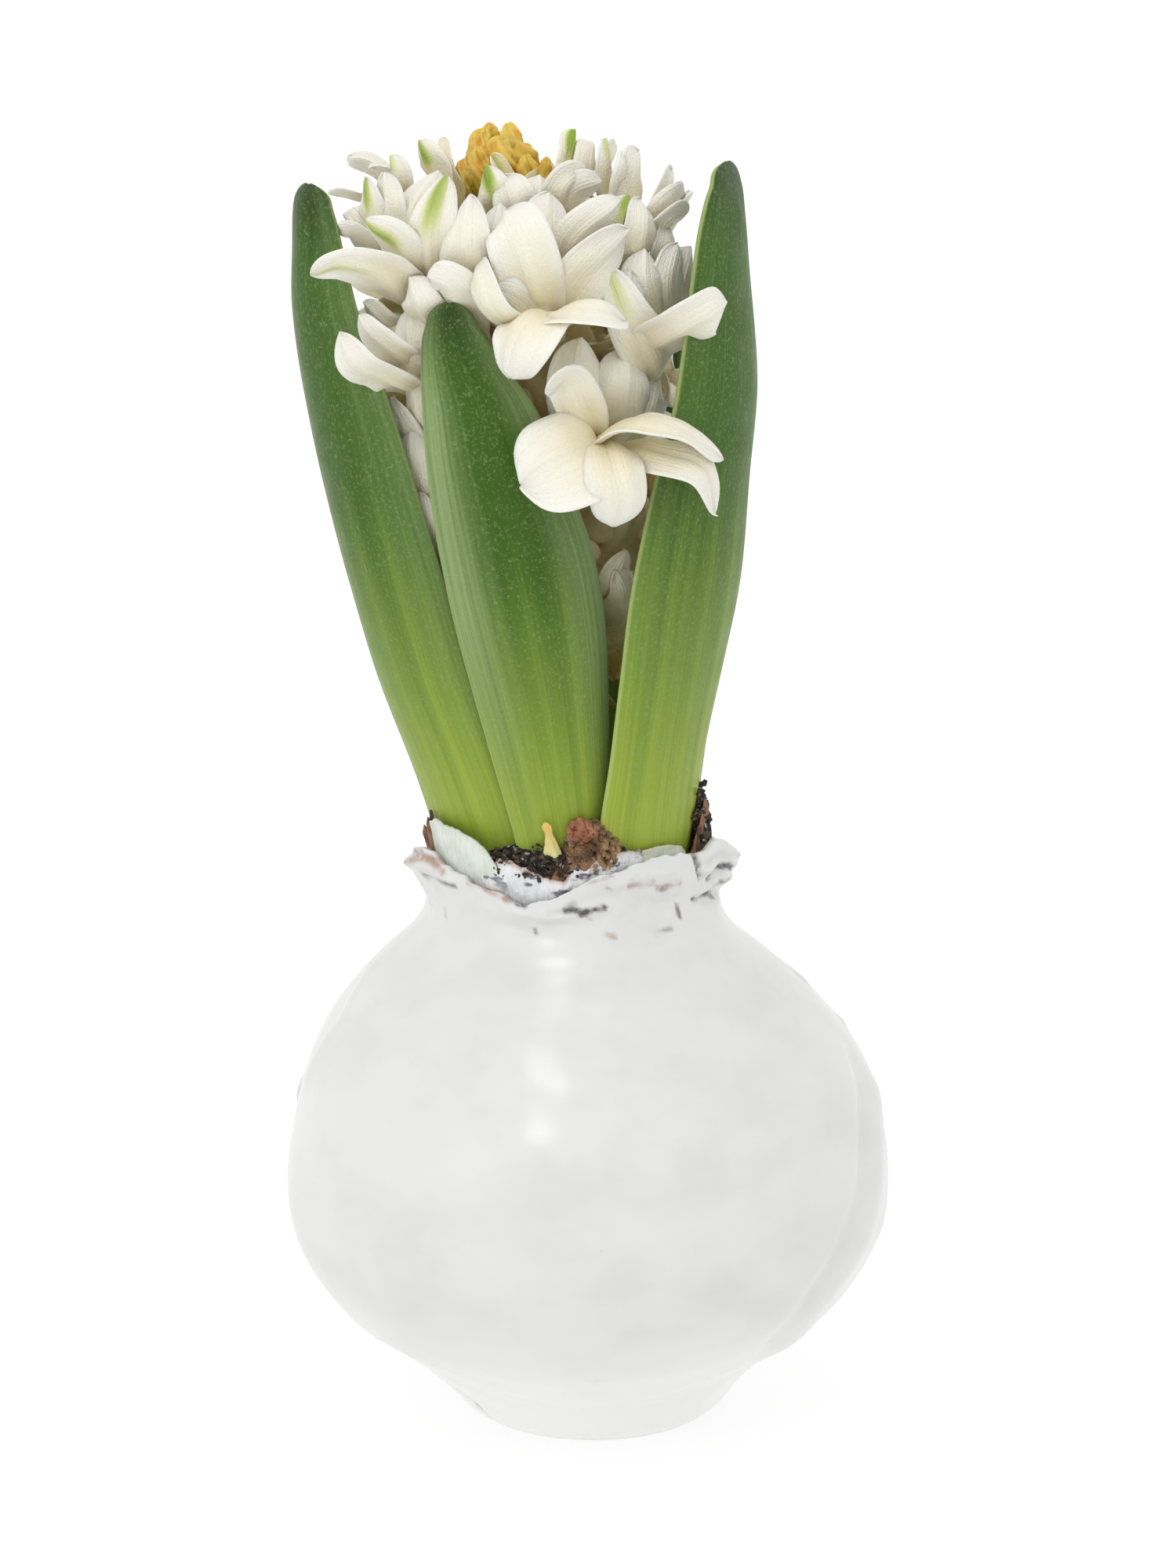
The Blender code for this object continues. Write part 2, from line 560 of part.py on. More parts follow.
def draw_petal(bm, face, mouth, axis, length, width, opening, leaves):
    """Extrude one side face of a tube three times along a line that rolls back."""
    spoke = face.calc_center_median() - mouth
    spoke = (spoke - axis * spoke.dot(axis)).normalized()
    across = axis.cross(spoke)
    corners = []
    for vert in face.verts:
        away = vert.co - mouth
        corners.append((math.copysign(1.0, away.dot(across)), math.copysign(1.0, away.dot(axis))))
    centre = face.calc_center_median()
    for turned_by, step, share in ((0.4, 0.36, 0.62), (0.72, 0.38, 1.0), (1.0, 0.26, 0.4)):
        angle = opening * turned_by
        heading = axis * math.cos(angle) + spoke * math.sin(angle)
        normal = axis * math.sin(angle) - spoke * math.cos(angle)
        centre = centre + heading * length * step
        face = bmesh.ops.extrude_discrete_faces(bm, faces=[face])["faces"][0]
        for vert, (side, level) in zip(face.verts, corners):
            middle = clear_of_leaves(centre + across * side * width * share / 2.0, leaves)
            vert.co = middle + normal * level * PETAL_THICK / 2.0


def core(bm):
    """The solid middle that stands for the tubes packed round the stem."""
    low, high = HEAD_CORE[0][0], HEAD_CORE[-1][0]
    upright(bm, low, high, 10, 1.0, 1.0)
    for height, _ in HEAD_CORE[1:-1]:
        whole = bm.verts[:] + bm.edges[:] + bm.faces[:]
        bmesh.ops.bisect_plane(bm, geom=whole, plane_co=(0, 0, height), plane_no=(0, 0, 1))
    lean_on_middle(bm, lambda height: read_rows(HEAD_CORE, height)[0])


def covered_by_front(azimuth, height):
    """The front petals already cover this part of the head."""
    return 100.0 < height < 134.5 and -66.0 < turn_between(azimuth, 0.0) < 62.0


def make_head(collection, cutters, leaves):
    """The florets joined into one piece and cut clear of the leaves."""
    rng = random.Random(SEED)
    pieces = make_collection("petals")
    head = add_piece(core, "flower_head", collection)
    for number, entry in enumerate(FRONT_PETALS):
        add_piece(front_petal, f"front_{number}", pieces, entry, leaves)
    for number in range(FLORETS):
        share = (number + 0.5) / FLORETS
        height = FLORET_LOW + (FLORET_HIGH - FLORET_LOW) * share ** 0.8
        azimuth = math.degrees(number * TURN) % 360.0
        rise = math.radians(-12.0 + 80.0 * share ** 2.0)
        if covered_by_front(azimuth, height):
            continue
        reach = read_rows(HEAD_REACH, height)[0] - FLORET_SPREAD
        throat = around(height, azimuth, reach)
        outward = around(height, azimuth, 1.0) - around(height, azimuth, 0.0)
        axis = (outward * math.cos(rise) + Vector((0, 0, 1)) * math.sin(rise)).normalized()
        petals = []
        for _ in range(6):
            length = rng.uniform(10.0, 12.0) * (1.0 - 0.2 * share)
            opening = rng.uniform(1.5, 2.2) * (1.0 - 0.55 * share ** 2.0)
            petals.append((length, rng.uniform(5.2, 6.2), opening))
        add_piece(floret, f"floret_{number}", pieces, throat, axis, petals, leaves)
    join(head, pieces)
    for name, rows in LEAVES.items():
        cut(head, leaf_cutter(rows, name, cutters))
    keep_largest(head)
    head.data.materials.append(make_material("flower_head"))
    smooth(head)


def join(target, pieces):
    """One union of the target with all pieces, applied; the pieces are removed."""
    union = target.modifiers.new("join", "BOOLEAN")
    union.operation = "UNION"
    union.solver = "MANIFOLD"
    union.operand_type = "COLLECTION"
    union.collection = pieces
    keep_evaluated(target)
    for obj in list(pieces.objects):
        bpy.data.objects.remove(obj, do_unlink=True)
    bpy.data.collections.remove(pieces)


def cut(target, cutter):
    """Cut one solid out of another, applied."""
    difference = target.modifiers.new("cut", "BOOLEAN")
    difference.operation = "DIFFERENCE"
    difference.solver = "MANIFOLD"
    difference.object = cutter
    keep_evaluated(target)


def keep_largest(obj):
    """Drop the loose scraps that a cut leaves."""
    bm = bmesh.new()
    bm.from_mesh(obj.data)
    bmesh.ops.triangulate(bm, faces=bm.faces)
    left = set(bm.verts)
    islands = []
    while left:
        front = [left.pop()]
        island = list(front)
        while front:
            vert = front.pop()
            for edge in vert.link_edges:
                other = edge.other_vert(vert)
                if other in left:
                    left.remove(other)
                    front.append(other)
                    island.append(other)
        islands.append(island)
    islands.sort(key=len)
    for island in islands[:-1]:
        bmesh.ops.delete(bm, geom=island, context="VERTS")
    bm.to_mesh(obj.data)
    bm.free()


# ---------------------------------------------------------------- small pieces


def bud(bm, place, axis, length, width):
    """One shrivelled bud, long along its axis."""
    bmesh.ops.create_uvsphere(bm, u_segments=6, v_segments=4, radius=1.0)
    turn = axis.to_track_quat("Z", "Y").to_matrix().to_4x4()
    size = Matrix.Diagonal((width, width, length, 1.0))
    bmesh.ops.transform(bm, matrix=Matrix.Translation(place) @ turn @ size, verts=bm.verts)


def bud_cone(bm):
    upright(bm, BUD_FOOT, BUD_TOP - 1.5, 9, 3.2, 1.3)
    bmesh.ops.translate(bm, vec=(middle_x(140.0), 0, 0), verts=bm.verts)


def make_apex(collection):
    """Withered buds packed round the tip of the stem."""
    rng = random.Random(SEED)
    pieces = make_collection("buds")
    apex = add_piece(bud_cone, "apex_buds", collection)
    for number in range(15):
        share = (number + 0.5) / 15.0
        azimuth = math.degrees(number * TURN)
        length = rng.uniform(2.2, 3.0)
        height = BUD_FOOT + 2.9 + 6.6 * share
        outward = around(height, azimuth, 1.0) - around(height, azimuth, 0.0)
        axis = (outward * (0.75 - 0.6 * share) + Vector((0, 0, 1))).normalized()
        place = around(height, azimuth, 3.2 - 2.2 * share)
        add_piece(bud, f"bud_{number}", pieces, place, axis, length, rng.uniform(1.1, 1.5))
    join(apex, pieces)
    keep_largest(apex)
    apex.data.materials.append(make_material("apex_buds"))
    smooth(apex)


def make_shoot(collection):
    """A pale side shoot that stands on the torn scales in front of the leaves."""
    low = RIM_Z + torn_rise(SHOOT_AZIMUTH, SCALE_TEARS) + GAP * 2.0
    tall = SHOOT_TOP - low
    bm = bmesh.new()
    bmesh.ops.create_uvsphere(bm, u_segments=8, v_segments=6, radius=0.5)
    for vert in bm.verts:
        share = vert.co.z + 0.5
        thin = 1.0 - 0.45 * smoothstep(share)
        height = low + tall * share
        place = around(height, SHOOT_AZIMUTH, SHOOT_REACH + 0.9 * share)
        vert.co = place + Vector((vert.co.x * 3.2 * thin, vert.co.y * 1.5 * thin, 0.0))
    smooth(add_object("side_shoot", bm, collection, make_material("side_shoot")))


def build():
    clear_scene()
    parts = make_collection(PART)
    cutters = make_collection("cutters")
    make_wax(parts)
    make_bulb(parts)
    leaves = make_leaves(parts)
    make_stem(parts)
    make_head(parts, cutters, leaves)
    make_apex(parts)
    make_shoot(parts)


build()
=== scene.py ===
"""A white hyacinth in flower on a bulb dipped in white wax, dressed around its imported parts.

The sizes below are in millimetres, and MM turns them into Blender's metres. +Z is up and -Y is
the front. An azimuth is in degrees round the plant's middle line, 0 at the front, 90 at +X.
"""
import math
import random

import bmesh
import bpy
from mathutils import Matrix, Vector, noise
from mathutils.bvhtree import BVHTree


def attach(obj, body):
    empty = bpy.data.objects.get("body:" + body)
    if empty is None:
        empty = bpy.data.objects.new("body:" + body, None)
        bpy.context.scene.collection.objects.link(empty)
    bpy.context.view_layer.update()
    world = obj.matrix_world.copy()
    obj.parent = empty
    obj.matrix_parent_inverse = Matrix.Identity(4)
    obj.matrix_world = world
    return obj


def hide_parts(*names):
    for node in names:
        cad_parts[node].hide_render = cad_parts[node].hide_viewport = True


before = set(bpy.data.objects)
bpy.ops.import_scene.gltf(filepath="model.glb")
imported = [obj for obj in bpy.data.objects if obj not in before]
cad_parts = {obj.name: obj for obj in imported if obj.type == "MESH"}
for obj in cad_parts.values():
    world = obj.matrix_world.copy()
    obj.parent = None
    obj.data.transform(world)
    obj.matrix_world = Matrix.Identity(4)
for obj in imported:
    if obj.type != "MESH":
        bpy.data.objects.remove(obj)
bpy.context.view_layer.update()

MM = 0.001


# The studio: a lit white table that runs far behind the plant, under an even white sky. Small
# lamps stand at the front and above, a broad weak one low at the front left, and the camera
# looks a little down on the plant from the front.
LENS = 100.0
SENSOR = 36.0
CAMERA_RISE = math.radians(12.0)
CAMERA_DISTANCE = 485.6
CAMERA_TARGET = Vector((0.2, 0.0, 72.4))
LAMPS = (  # name, azimuth, rise, distance, width, power in watts
    ("lamp_front", -24.0, 31.0, 900.0, 170.0, 0.5),
    ("lamp_high", -22.0, 58.0, 900.0, 260.0, 0.8),
    ("lamp_top_left", -41.0, 77.0, 900.0, 120.0, 0.2),
    ("lamp_top_right", 25.0, 72.0, 900.0, 110.0, 0.10),
    ("lamp_low", -42.0, 8.0, 1100.0, 700.0, 0.5),
)
LAMPS_AIM = Vector((0.0, 0.0, 60.0))
TABLE_HALF = 30.0        # metres from its middle to an edge
TABLE_GLOW = 0.72


def plain_material(name, colour, roughness):
    """A Principled material, with its node tree and shader."""
    material = bpy.data.materials.new(name)
    material.use_nodes = True
    shader = material.node_tree.nodes["Principled BSDF"]
    shader.inputs["Base Color"].default_value = (*colour, 1.0)
    shader.inputs["Roughness"].default_value = roughness
    return material, material.node_tree, shader


def direction(azimuth, rise):
    """A unit vector away from the plant."""
    turn = math.radians(azimuth)
    lift = math.radians(rise)
    return Vector((math.sin(turn) * math.cos(lift), -math.cos(turn) * math.cos(lift), math.sin(lift)))


def make_sky(scene):
    sky = bpy.data.worlds.new("white_sky")
    sky.use_nodes = True
    background = sky.node_tree.nodes["Background"]
    background.inputs["Color"].default_value = (1.0, 1.0, 1.0, 1.0)
    background.inputs["Strength"].default_value = 1.0
    scene.world = sky


def make_table(scene):
    bm = bmesh.new()
    bmesh.ops.create_grid(bm, x_segments=8, y_segments=8, size=TABLE_HALF)
    mesh = bpy.data.meshes.new("floor")
    bm.to_mesh(mesh)
    bm.free()
    floor = bpy.data.objects.new("floor", mesh)
    table, _, shader = plain_material("white_table", (0.28, 0.28, 0.28), 0.9)
    shader.inputs["Emission Color"].default_value = (1.0, 1.0, 1.0, 1.0)
    shader.inputs["Emission Strength"].default_value = TABLE_GLOW
    mesh.materials.append(table)
    scene.collection.objects.link(floor)


def make_lamps(scene):
    for name, azimuth, rise, distance, width, power in LAMPS:
        light = bpy.data.lights.new(name, "AREA")
        light.shape = "DISK"
        light.size = width * MM
        light.energy = power
        lamp = bpy.data.objects.new(name, light)
        away = direction(azimuth, rise)
        lamp.location = (LAMPS_AIM + away * distance) * MM
        lamp.rotation_euler = away.to_track_quat("Z", "Y").to_euler()
        scene.collection.objects.link(lamp)


def make_camera(scene):
    lens = bpy.data.cameras.new("camera")
    lens.lens = LENS
    lens.sensor_width = SENSOR
    lens.clip_start = 0.01
    camera = bpy.data.objects.new("camera", lens)
    back = Vector((0.0, -math.cos(CAMERA_RISE), math.sin(CAMERA_RISE)))
    camera.location = (CAMERA_TARGET + back * CAMERA_DISTANCE) * MM
    camera.rotation_euler = back.to_track_quat("Z", "Y").to_euler()
    scene.collection.objects.link(camera)
    scene.camera = camera


def make_studio():
    scene = bpy.context.scene
    scene.view_settings.view_transform = "Standard"
    make_sky(scene)
    make_table(scene)
    make_lamps(scene)
    make_camera(scene)


make_studio()


# The wax coat: one skin of white wax, left by dipping the whole bulb. It swells where the bulb
# does, ends below in a flat foot where the soft wax stood, and above in a torn collar whose
# edge is stained by the bulb's brown skin and by soil.
NECK_X = -1.5
NECK_Z = 58.0
LEAN = -0.0945           # the plant leans to the left above the neck
FOOT_X = 0.8
WAX_OUTSIDE = (
    (17.0, 64.2), (16.7, 62.0), (16.4, 60.0), (17.0, 57.8), (18.5, 55.7), (22.0, 52.7),
    (25.8, 48.9), (29.4, 44.2), (32.0, 38.6), (33.2, 32.5), (33.5, 27.0), (32.9, 22.0),
    (30.8, 17.2), (27.2, 12.6), (22.8, 9.2), (19.6, 6.4), (17.0, 3.8), (15.2, 1.6),
    (13.6, 0.3), (12.6, 0.0), (0.0, 0.0),
)
WAX_INSIDE = ((0.0, 56.5), (15.9, 57.5), (15.6, 60.0), (16.2, 64.1))
WAX_STEPS = 264
WAX_ROWS = 140
# The torn edge: (azimuth, height).
WAX_RIM = (
    (-180, 64.5), (-150, 65.4), (-120, 64.2), (-95, 63.4), (-78, 64.2), (-66, 66.6), (-60, 66.9),
    (-55, 65.8), (-44, 65.0), (-38, 64.1), (-32, 63.6), (-25, 63.1), (-21, 62.5), (-14, 62.6),
    (-8, 63.1), (-4, 63.5), (2, 64.2), (6.5, 65.0), (11, 65.6), (17, 65.9), (23, 66.4),
    (29, 66.9), (36, 67.2), (46, 67.0), (53, 66.7), (60, 66.9), (66, 67.8), (70, 67.5),
    (79, 66.0), (88, 64.2), (100, 65.0), (120, 66.2), (150, 64.8), (180, 64.5),
)
# Where the collar turns outwards: (azimuth, spread, amount).
WAX_LOBES = ((-72, 13, 1.1), (80, 15, 1.9), (62, 8, 0.7), (135, 18, 1.0), (-145, 20, 0.9),
             (30, 14, 0.3), (-30, 10, -0.3))
# Broad swellings: (azimuth, height, azimuth spread, height spread, rise).
WAX_SWELLINGS = (
    (86, 27, 20, 14, 0.7), (-8, 31, 24, 12, 0.4), (-48, 43, 20, 7, -0.4), (-78, 28, 14, 9, 0.4),
    (-65, 20, 22, 10, 0.3), (18, 47, 18, 6, -0.4), (160, 30, 30, 14, 0.7), (-135, 24, 26, 16, 0.6),
    (205, 46, 24, 8, -0.6), (125, 12, 22, 7, 0.7), (-20, 14, 24, 6, 0.3), (-64, 49, 9, 4, 0.5),
    (-12, 45, 6, 3, 0.15), (-2, 44, 5, 2.5, 0.15), (-10, 37, 6, 3, -0.15), (-12, 33, 8, 4, 0.2),
    (70, 60.6, 12, 0.9, -0.7), (-72, 61.5, 10, 1.2, -0.3), (2, 4.0, 20, 2.0, 0.3),
    (84, 63.4, 9, 1.3, 0.6), (-70, 64.6, 8, 1.1, 0.3),
)
# Folds where the wax ran and set: (spread, rise, points as azimuth and height).
WAX_FOLDS = (
    (1.3, -0.6, ((80, 42), (71, 37), (67, 32.5), (63, 28), (57, 23.5), (51, 20), (47, 14))),
    (2.2, 0.5, ((84, 38), (77, 33.5), (72, 28.5), (66, 23), (59, 18.5), (55, 13), (54, 10.5))),
    (1.2, 0.45, ((60, 13.5), (47, 10.4), (29, 8.6), (7, 7.2), (-12, 7.6), (-29, 9.2), (-49, 12.8))),
    (1.5, -0.4, ((50, 7.6), (29, 6.0), (7, 4.8), (-12, 5.0), (-29, 6.4), (-44, 8.4))),
    (0.8, -0.7, ((-62, 6.6), (-56, 4.2), (-52, 2.6))),
    (1.2, 0.3, ((-84, 52), (-76, 47), (-80, 40))),
)
FOLD_STEP = 0.5          # millimetres round the body for each degree, near enough
RIM_STEP = 0.3           # the same round the collar
# Cracks and creases in the collar, as WAX_FOLDS.
RIM_FOLDS = (
    (0.35, -0.5, ((64, 63.3), (71, 64.1), (78, 63.9), (86, 62.8))),
    (0.5, 0.5, ((62, 64.4), (72, 65.2), (84, 64.8))),
    (0.35, -0.5, ((55, 66.8), (56.5, 65.3), (59, 63.6))),
    (0.7, 0.5, ((68, 62.4), (76, 62.6), (86, 61.8))),
    (0.35, -0.4, ((56, 61.4), (63, 61.0), (70, 61.2), (80, 60.4))),
    (0.6, 0.5, ((-80, 64.0), (-70, 65.0), (-58, 64.8), (-48, 64.0))),
    (0.4, -0.3, ((-74, 65.6), (-66, 66.0), (-58, 65.8))),
    (0.6, 0.25, ((-20, 61.6), (-8, 61.0), (4, 61.6), (14, 62.4))),
    (0.7, 0.3, ((18, 64.6), (30, 65.4), (44, 65.2))),
    (0.35, -0.2, ((28, 62.6), (38, 62.0), (48, 62.4))),
)
# Stains: (azimuth, height, azimuth spread, height spread, soot, rust).
STAIN_STRENGTH = 1.5
WAX_STAINS = (
    (-72, 60.0, 9, 0.5, 0.2, 0.1), (-10, 60.5, 9, 0.8, 0.12, 0.0), (60, 63.6, 5, 1.2, 0.12, 0.0),
    (15, 34.8, 7, 1.0, 0.09, 0.0), (26, 32.5, 6, 1.1, 0.09, 0.0), (40, 29.4, 8, 0.9, 0.08, 0.0),
    (3, 11.9, 4, 1.3, 0.16, 0.0), (-28, 28.1, 3, 0.6, 0.07, 0.0), (-23, 24.0, 6, 1.5, 0.05, 0.0),
    (-7, 33.4, 8, 2.0, 0.05, 0.0), (10, 54.0, 6, 0.5, 0.06, 0.05), (-72, 40.0, 8, 6.0, 0.05, 0.0),
    (-53, 3.0, 2.5, 0.5, 0.7, 0.9), (-57, 4.6, 3, 0.5, 0.3, 0.0), (-40, 3.6, 3, 0.4, 0.2, 0.2),
    (-14, 40.5, 3, 2.2, 0.06, 0.0), (170, 30.0, 20, 1.0, 0.10, 0.0), (-120, 20.0, 9, 1.5, 0.10, 0.0),
)
# Streaks under the torn edge: (spread, soot, rust, points as azimuth and height).
WAX_STREAKS = (
    (0.40, 1.6, 0.6, ((-21.5, 63.0), (-19, 62.6), (-16, 62.5))),
    (0.55, 0.5, 0.1, ((-17, 62.0), (-10, 61.3), (-3, 61.9), (2, 62.8))),
    (0.32, 0.9, 1.0, ((4, 61.4), (8, 61.8), (12, 62.5), (14, 62.3))),
    (0.22, 0.5, 0.6, ((7, 60.9), (9, 60.7))),
    (0.26, 0.3, 1.4, ((14.5, 64.4), (16.5, 64.2))),
    (0.36, 0.2, 1.1, ((13, 59.1), (16.5, 58.9))),
    (0.34, 1.5, 0.9, ((45.4, 61.3), (46.2, 60.1))),
    (0.40, 0.6, 0.0, ((33, 58.7), (41, 59.0))),
    (0.34, 1.8, 0.1, ((55, 66.6), (56.5, 65.3), (58.5, 63.9))),
    (0.36, 1.7, 0.1, ((65, 63.4), (71, 64.2), (78, 64.0), (85, 62.9))),
    (0.60, 0.4, 0.1, ((60, 65.6), (68, 65.9), (80, 65.2))),
    (0.34, 1.5, 0.7, ((56, 61.3), (63, 61.0), (70, 61.2), (78, 60.3))),
    (0.28, 1.4, 0.5, ((-13.9, 59.7), (-13.4, 59.3))),
    (0.36, 0.7, 0.0, ((-58, 60.2), (-57, 59.3))),
    (0.60, 0.2, 1.5, ((-80, 63.0), (-73, 64.6), (-66, 65.8), (-58, 65.8), (-52, 64.9))),
    (0.40, 0.7, 0.5, ((-76, 65.2), (-69, 66.5), (-63, 66.7))),
    (0.45, 0.2, 1.5, ((-40, 64.0), (-34, 63.9), (-27, 63.2), (-23, 62.8))),
    (0.30, 0.3, 0.9, ((8, 65.0), (13, 65.4), (17, 65.7))),
    (0.25, 0.6, 0.3, ((24, 65.2), (27, 65.6))),
    (0.25, 0.5, 0.2, ((35, 63.4), (39, 63.2))),
    (0.40, 1.0, 0.5, ((112, 64.0), (124, 63.2), (134, 63.7))),
    (0.50, 0.4, 1.3, ((-158, 64.6), (-145, 64.2), (-132, 63.4))),
    (0.36, 1.2, 0.3, ((178, 62.2), (186, 61.7), (194, 62.3))),
    (0.40, 0.9, 0.6, ((-112, 62.6), (-104, 62.0), (-98, 62.4))),
)


def smoothstep(x):
    x = min(max(x, 0.0), 1.0)
    return x * x * (3.0 - 2.0 * x)


def bell(x):
    """A smooth hump, 1 at 0 and nearly nothing past 2."""
    return math.exp(-x * x)


def middle_x(height):
    """Sideways place of the plant's middle line."""
    foot = FOOT_X * (1.0 - smoothstep(height / 10.0))
    neck = NECK_X * smoothstep((height - 38.0) / 18.0)
    return foot + neck + LEAN * max(height - NECK_Z, 0.0)


def around(height, azimuth, reach):
    """The point at a reach from the middle line."""
    angle = math.radians(azimuth)
    return Vector((middle_x(height) + reach * math.sin(angle), -reach * math.cos(angle), height))


def turn_between(azimuth, centre):
    """The turn from centre to azimuth, within half a circle either way."""
    return (azimuth - centre + 180.0) % 360.0 - 180.0


def read_rows(rows, at):
    """Smooth values between rows whose first numbers rise."""
    last = len(rows) - 1
    i = 0
    while i < last - 1 and at > rows[i + 1][0]:
        i += 1
    span = rows[i + 1][0] - rows[i][0]
    t = min(max((at - rows[i][0]) / span, 0.0), 1.0)
    before = rows[max(i - 1, 0)]
    after = rows[min(i + 2, last)]
    values = []
    for k in range(1, len(rows[0])):
        start, end = rows[i][k], rows[i + 1][k]
        slope_in = (end - before[k]) / (rows[i + 1][0] - before[0]) * span
        slope_out = (after[k] - start) / (after[0] - rows[i][0]) * span
        cube = 2.0 * (start - end) + slope_in + slope_out
        square = -3.0 * (start - end) - 2.0 * slope_in - slope_out
        values.append(((cube * t + square) * t + slope_in) * t + start)
    return values


def along_line(points, share):
    """A point on a smooth curve through the points, at a share of its length."""
    rows = [(0.0, *points[0])]
    for start, end in zip(points, points[1:]):
        rows.append((rows[-1][0] + math.dist(start, end), *end))
    return Vector(read_rows(rows, share * rows[-1][0]))


def rough(point, size, seed=0.0):
    """Smooth noise between about -1 and 1, with humps of about this size."""
    return noise.noise(Vector(point) / size + Vector((seed, seed * 0.7, 3.1)))


def add_piece(name, bm, material, slot, *nodes):
    """Turn a bmesh in millimetres into a piece of the plant."""
    bmesh.ops.scale(bm, vec=(MM, MM, MM), verts=bm.verts)
    mesh = bpy.data.meshes.new(name)
    bm.to_mesh(mesh)
    bm.free()
    mesh.shade_smooth()
    mesh.materials.append(material)
    piece = bpy.data.objects.new(name, mesh)
    bpy.context.scene.collection.objects.link(piece)
    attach(piece, "root")
    for node in nodes:
        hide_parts(node)
    return piece


def add_node(tree, kind, inputs=(), **settings):
    """A shader node with its settings, and with values or links on its sockets."""
    node = tree.nodes.new(kind)
    for key, value in settings.items():
        setattr(node, key, value)
    for socket, value in dict(inputs).items():
        if isinstance(value, bpy.types.NodeSocket):
            tree.links.new(value, node.inputs[socket])
        else:
            node.inputs[socket].default_value = value
    return node


def span(tree, value, low, high, out_low=0.0, out_high=1.0):
    """Map a value from one range to another, smoothly and within it."""
    node = add_node(tree, "ShaderNodeMapRange", {0: value, 1: low, 2: high, 3: out_low, 4: out_high},
                    interpolation_type="SMOOTHSTEP")
    return node.outputs[0]


def figure(tree, operation, first, second=0.0):
    """One sum on two values."""
    return add_node(tree, "ShaderNodeMath", {0: first, 1: second}, operation=operation).outputs[0]


def tint(tree, share, under, over, way="MIX"):
    """Lay one colour over another."""
    colours = [(*c, 1.0) if isinstance(c, tuple) else c for c in (under, over)]
    node = add_node(tree, "ShaderNodeMix", {0: share, 6: colours[0], 7: colours[1]},
                    data_type="RGBA", blend_type=way)
    return node.outputs[2]


def grain(tree, vector, scale, detail=3.0, roughness=0.55, stretch=None):
    """Noise between 0 and 1 over a vector, stretched where asked."""
    if stretch:
        vector = add_node(tree, "ShaderNodeMapping", {0: vector, "Scale": stretch}).outputs[0]
    node = add_node(tree, "ShaderNodeTexNoise", {"Vector": vector, "Scale": scale, "Detail": detail,
                                                 "Roughness": roughness})
    return node.outputs["Fac"]


def painted(tree, name):
    """A mark that the piece carries at each of its points."""
    return add_node(tree, "ShaderNodeAttribute", attribute_name=name).outputs["Fac"]


def emboss(tree, shader, height, distance, strength):
    """Raise the surface by a height, at most the distance in metres."""
    bump = add_node(tree, "ShaderNodeBump", {"Height": height, "Distance": distance, "Strength": strength})
    tree.links.new(bump.outputs[0], shader.inputs["Normal"])


def let_light_in(shader, weight, radius, scale):
    """Let light into the surface, by colour, as deep as the scale in metres."""
    shader.inputs["Subsurface Weight"].default_value = weight
    shader.inputs["Subsurface Radius"].default_value = radius
    shader.inputs["Subsurface Scale"].default_value = scale


def new_group(name, inputs):
    """A shader node group with a vector and numbers going in and one value coming out."""
    group = bpy.data.node_groups.new(name, "ShaderNodeTree")
    group.interface.new_socket("Vector", in_out="INPUT", socket_type="NodeSocketVector")
    for socket in inputs:
        group.interface.new_socket(socket, in_out="INPUT", socket_type="NodeSocketFloat")
    group.interface.new_socket("Value", in_out="OUTPUT", socket_type="NodeSocketFloat")
    entry = group.nodes.new("NodeGroupInput")
    leave = group.nodes.new("NodeGroupOutput")
    return group, entry, leave


def make_specks():
    """Small round specks, thinly scattered: Size is in metres, Share from 0 to 1."""
    group, entry, leave = new_group("specks", ("Size", "Share"))
    scale = figure(group, "DIVIDE", 1.0, entry.outputs["Size"])
    cells = add_node(group, "ShaderNodeTexVoronoi", {"Vector": entry.outputs["Vector"], "Scale": scale})
    picked = figure(group, "LESS_THAN", cells.outputs["Color"], entry.outputs["Share"])
    round_off = span(group, cells.outputs["Distance"], 0.12, 0.3, 1.0, 0.0)
    group.links.new(figure(group, "MULTIPLY", picked, round_off), leave.inputs["Value"])
    return group


def use_group(tree, group, **inputs):
    node = add_node(tree, "ShaderNodeGroup", node_tree=group)
    for socket, value in inputs.items():
        if isinstance(value, bpy.types.NodeSocket):
            tree.links.new(value, node.inputs[socket])
        else:
            node.inputs[socket].default_value = value
    return node.outputs["Value"]


SPECKS = make_specks()


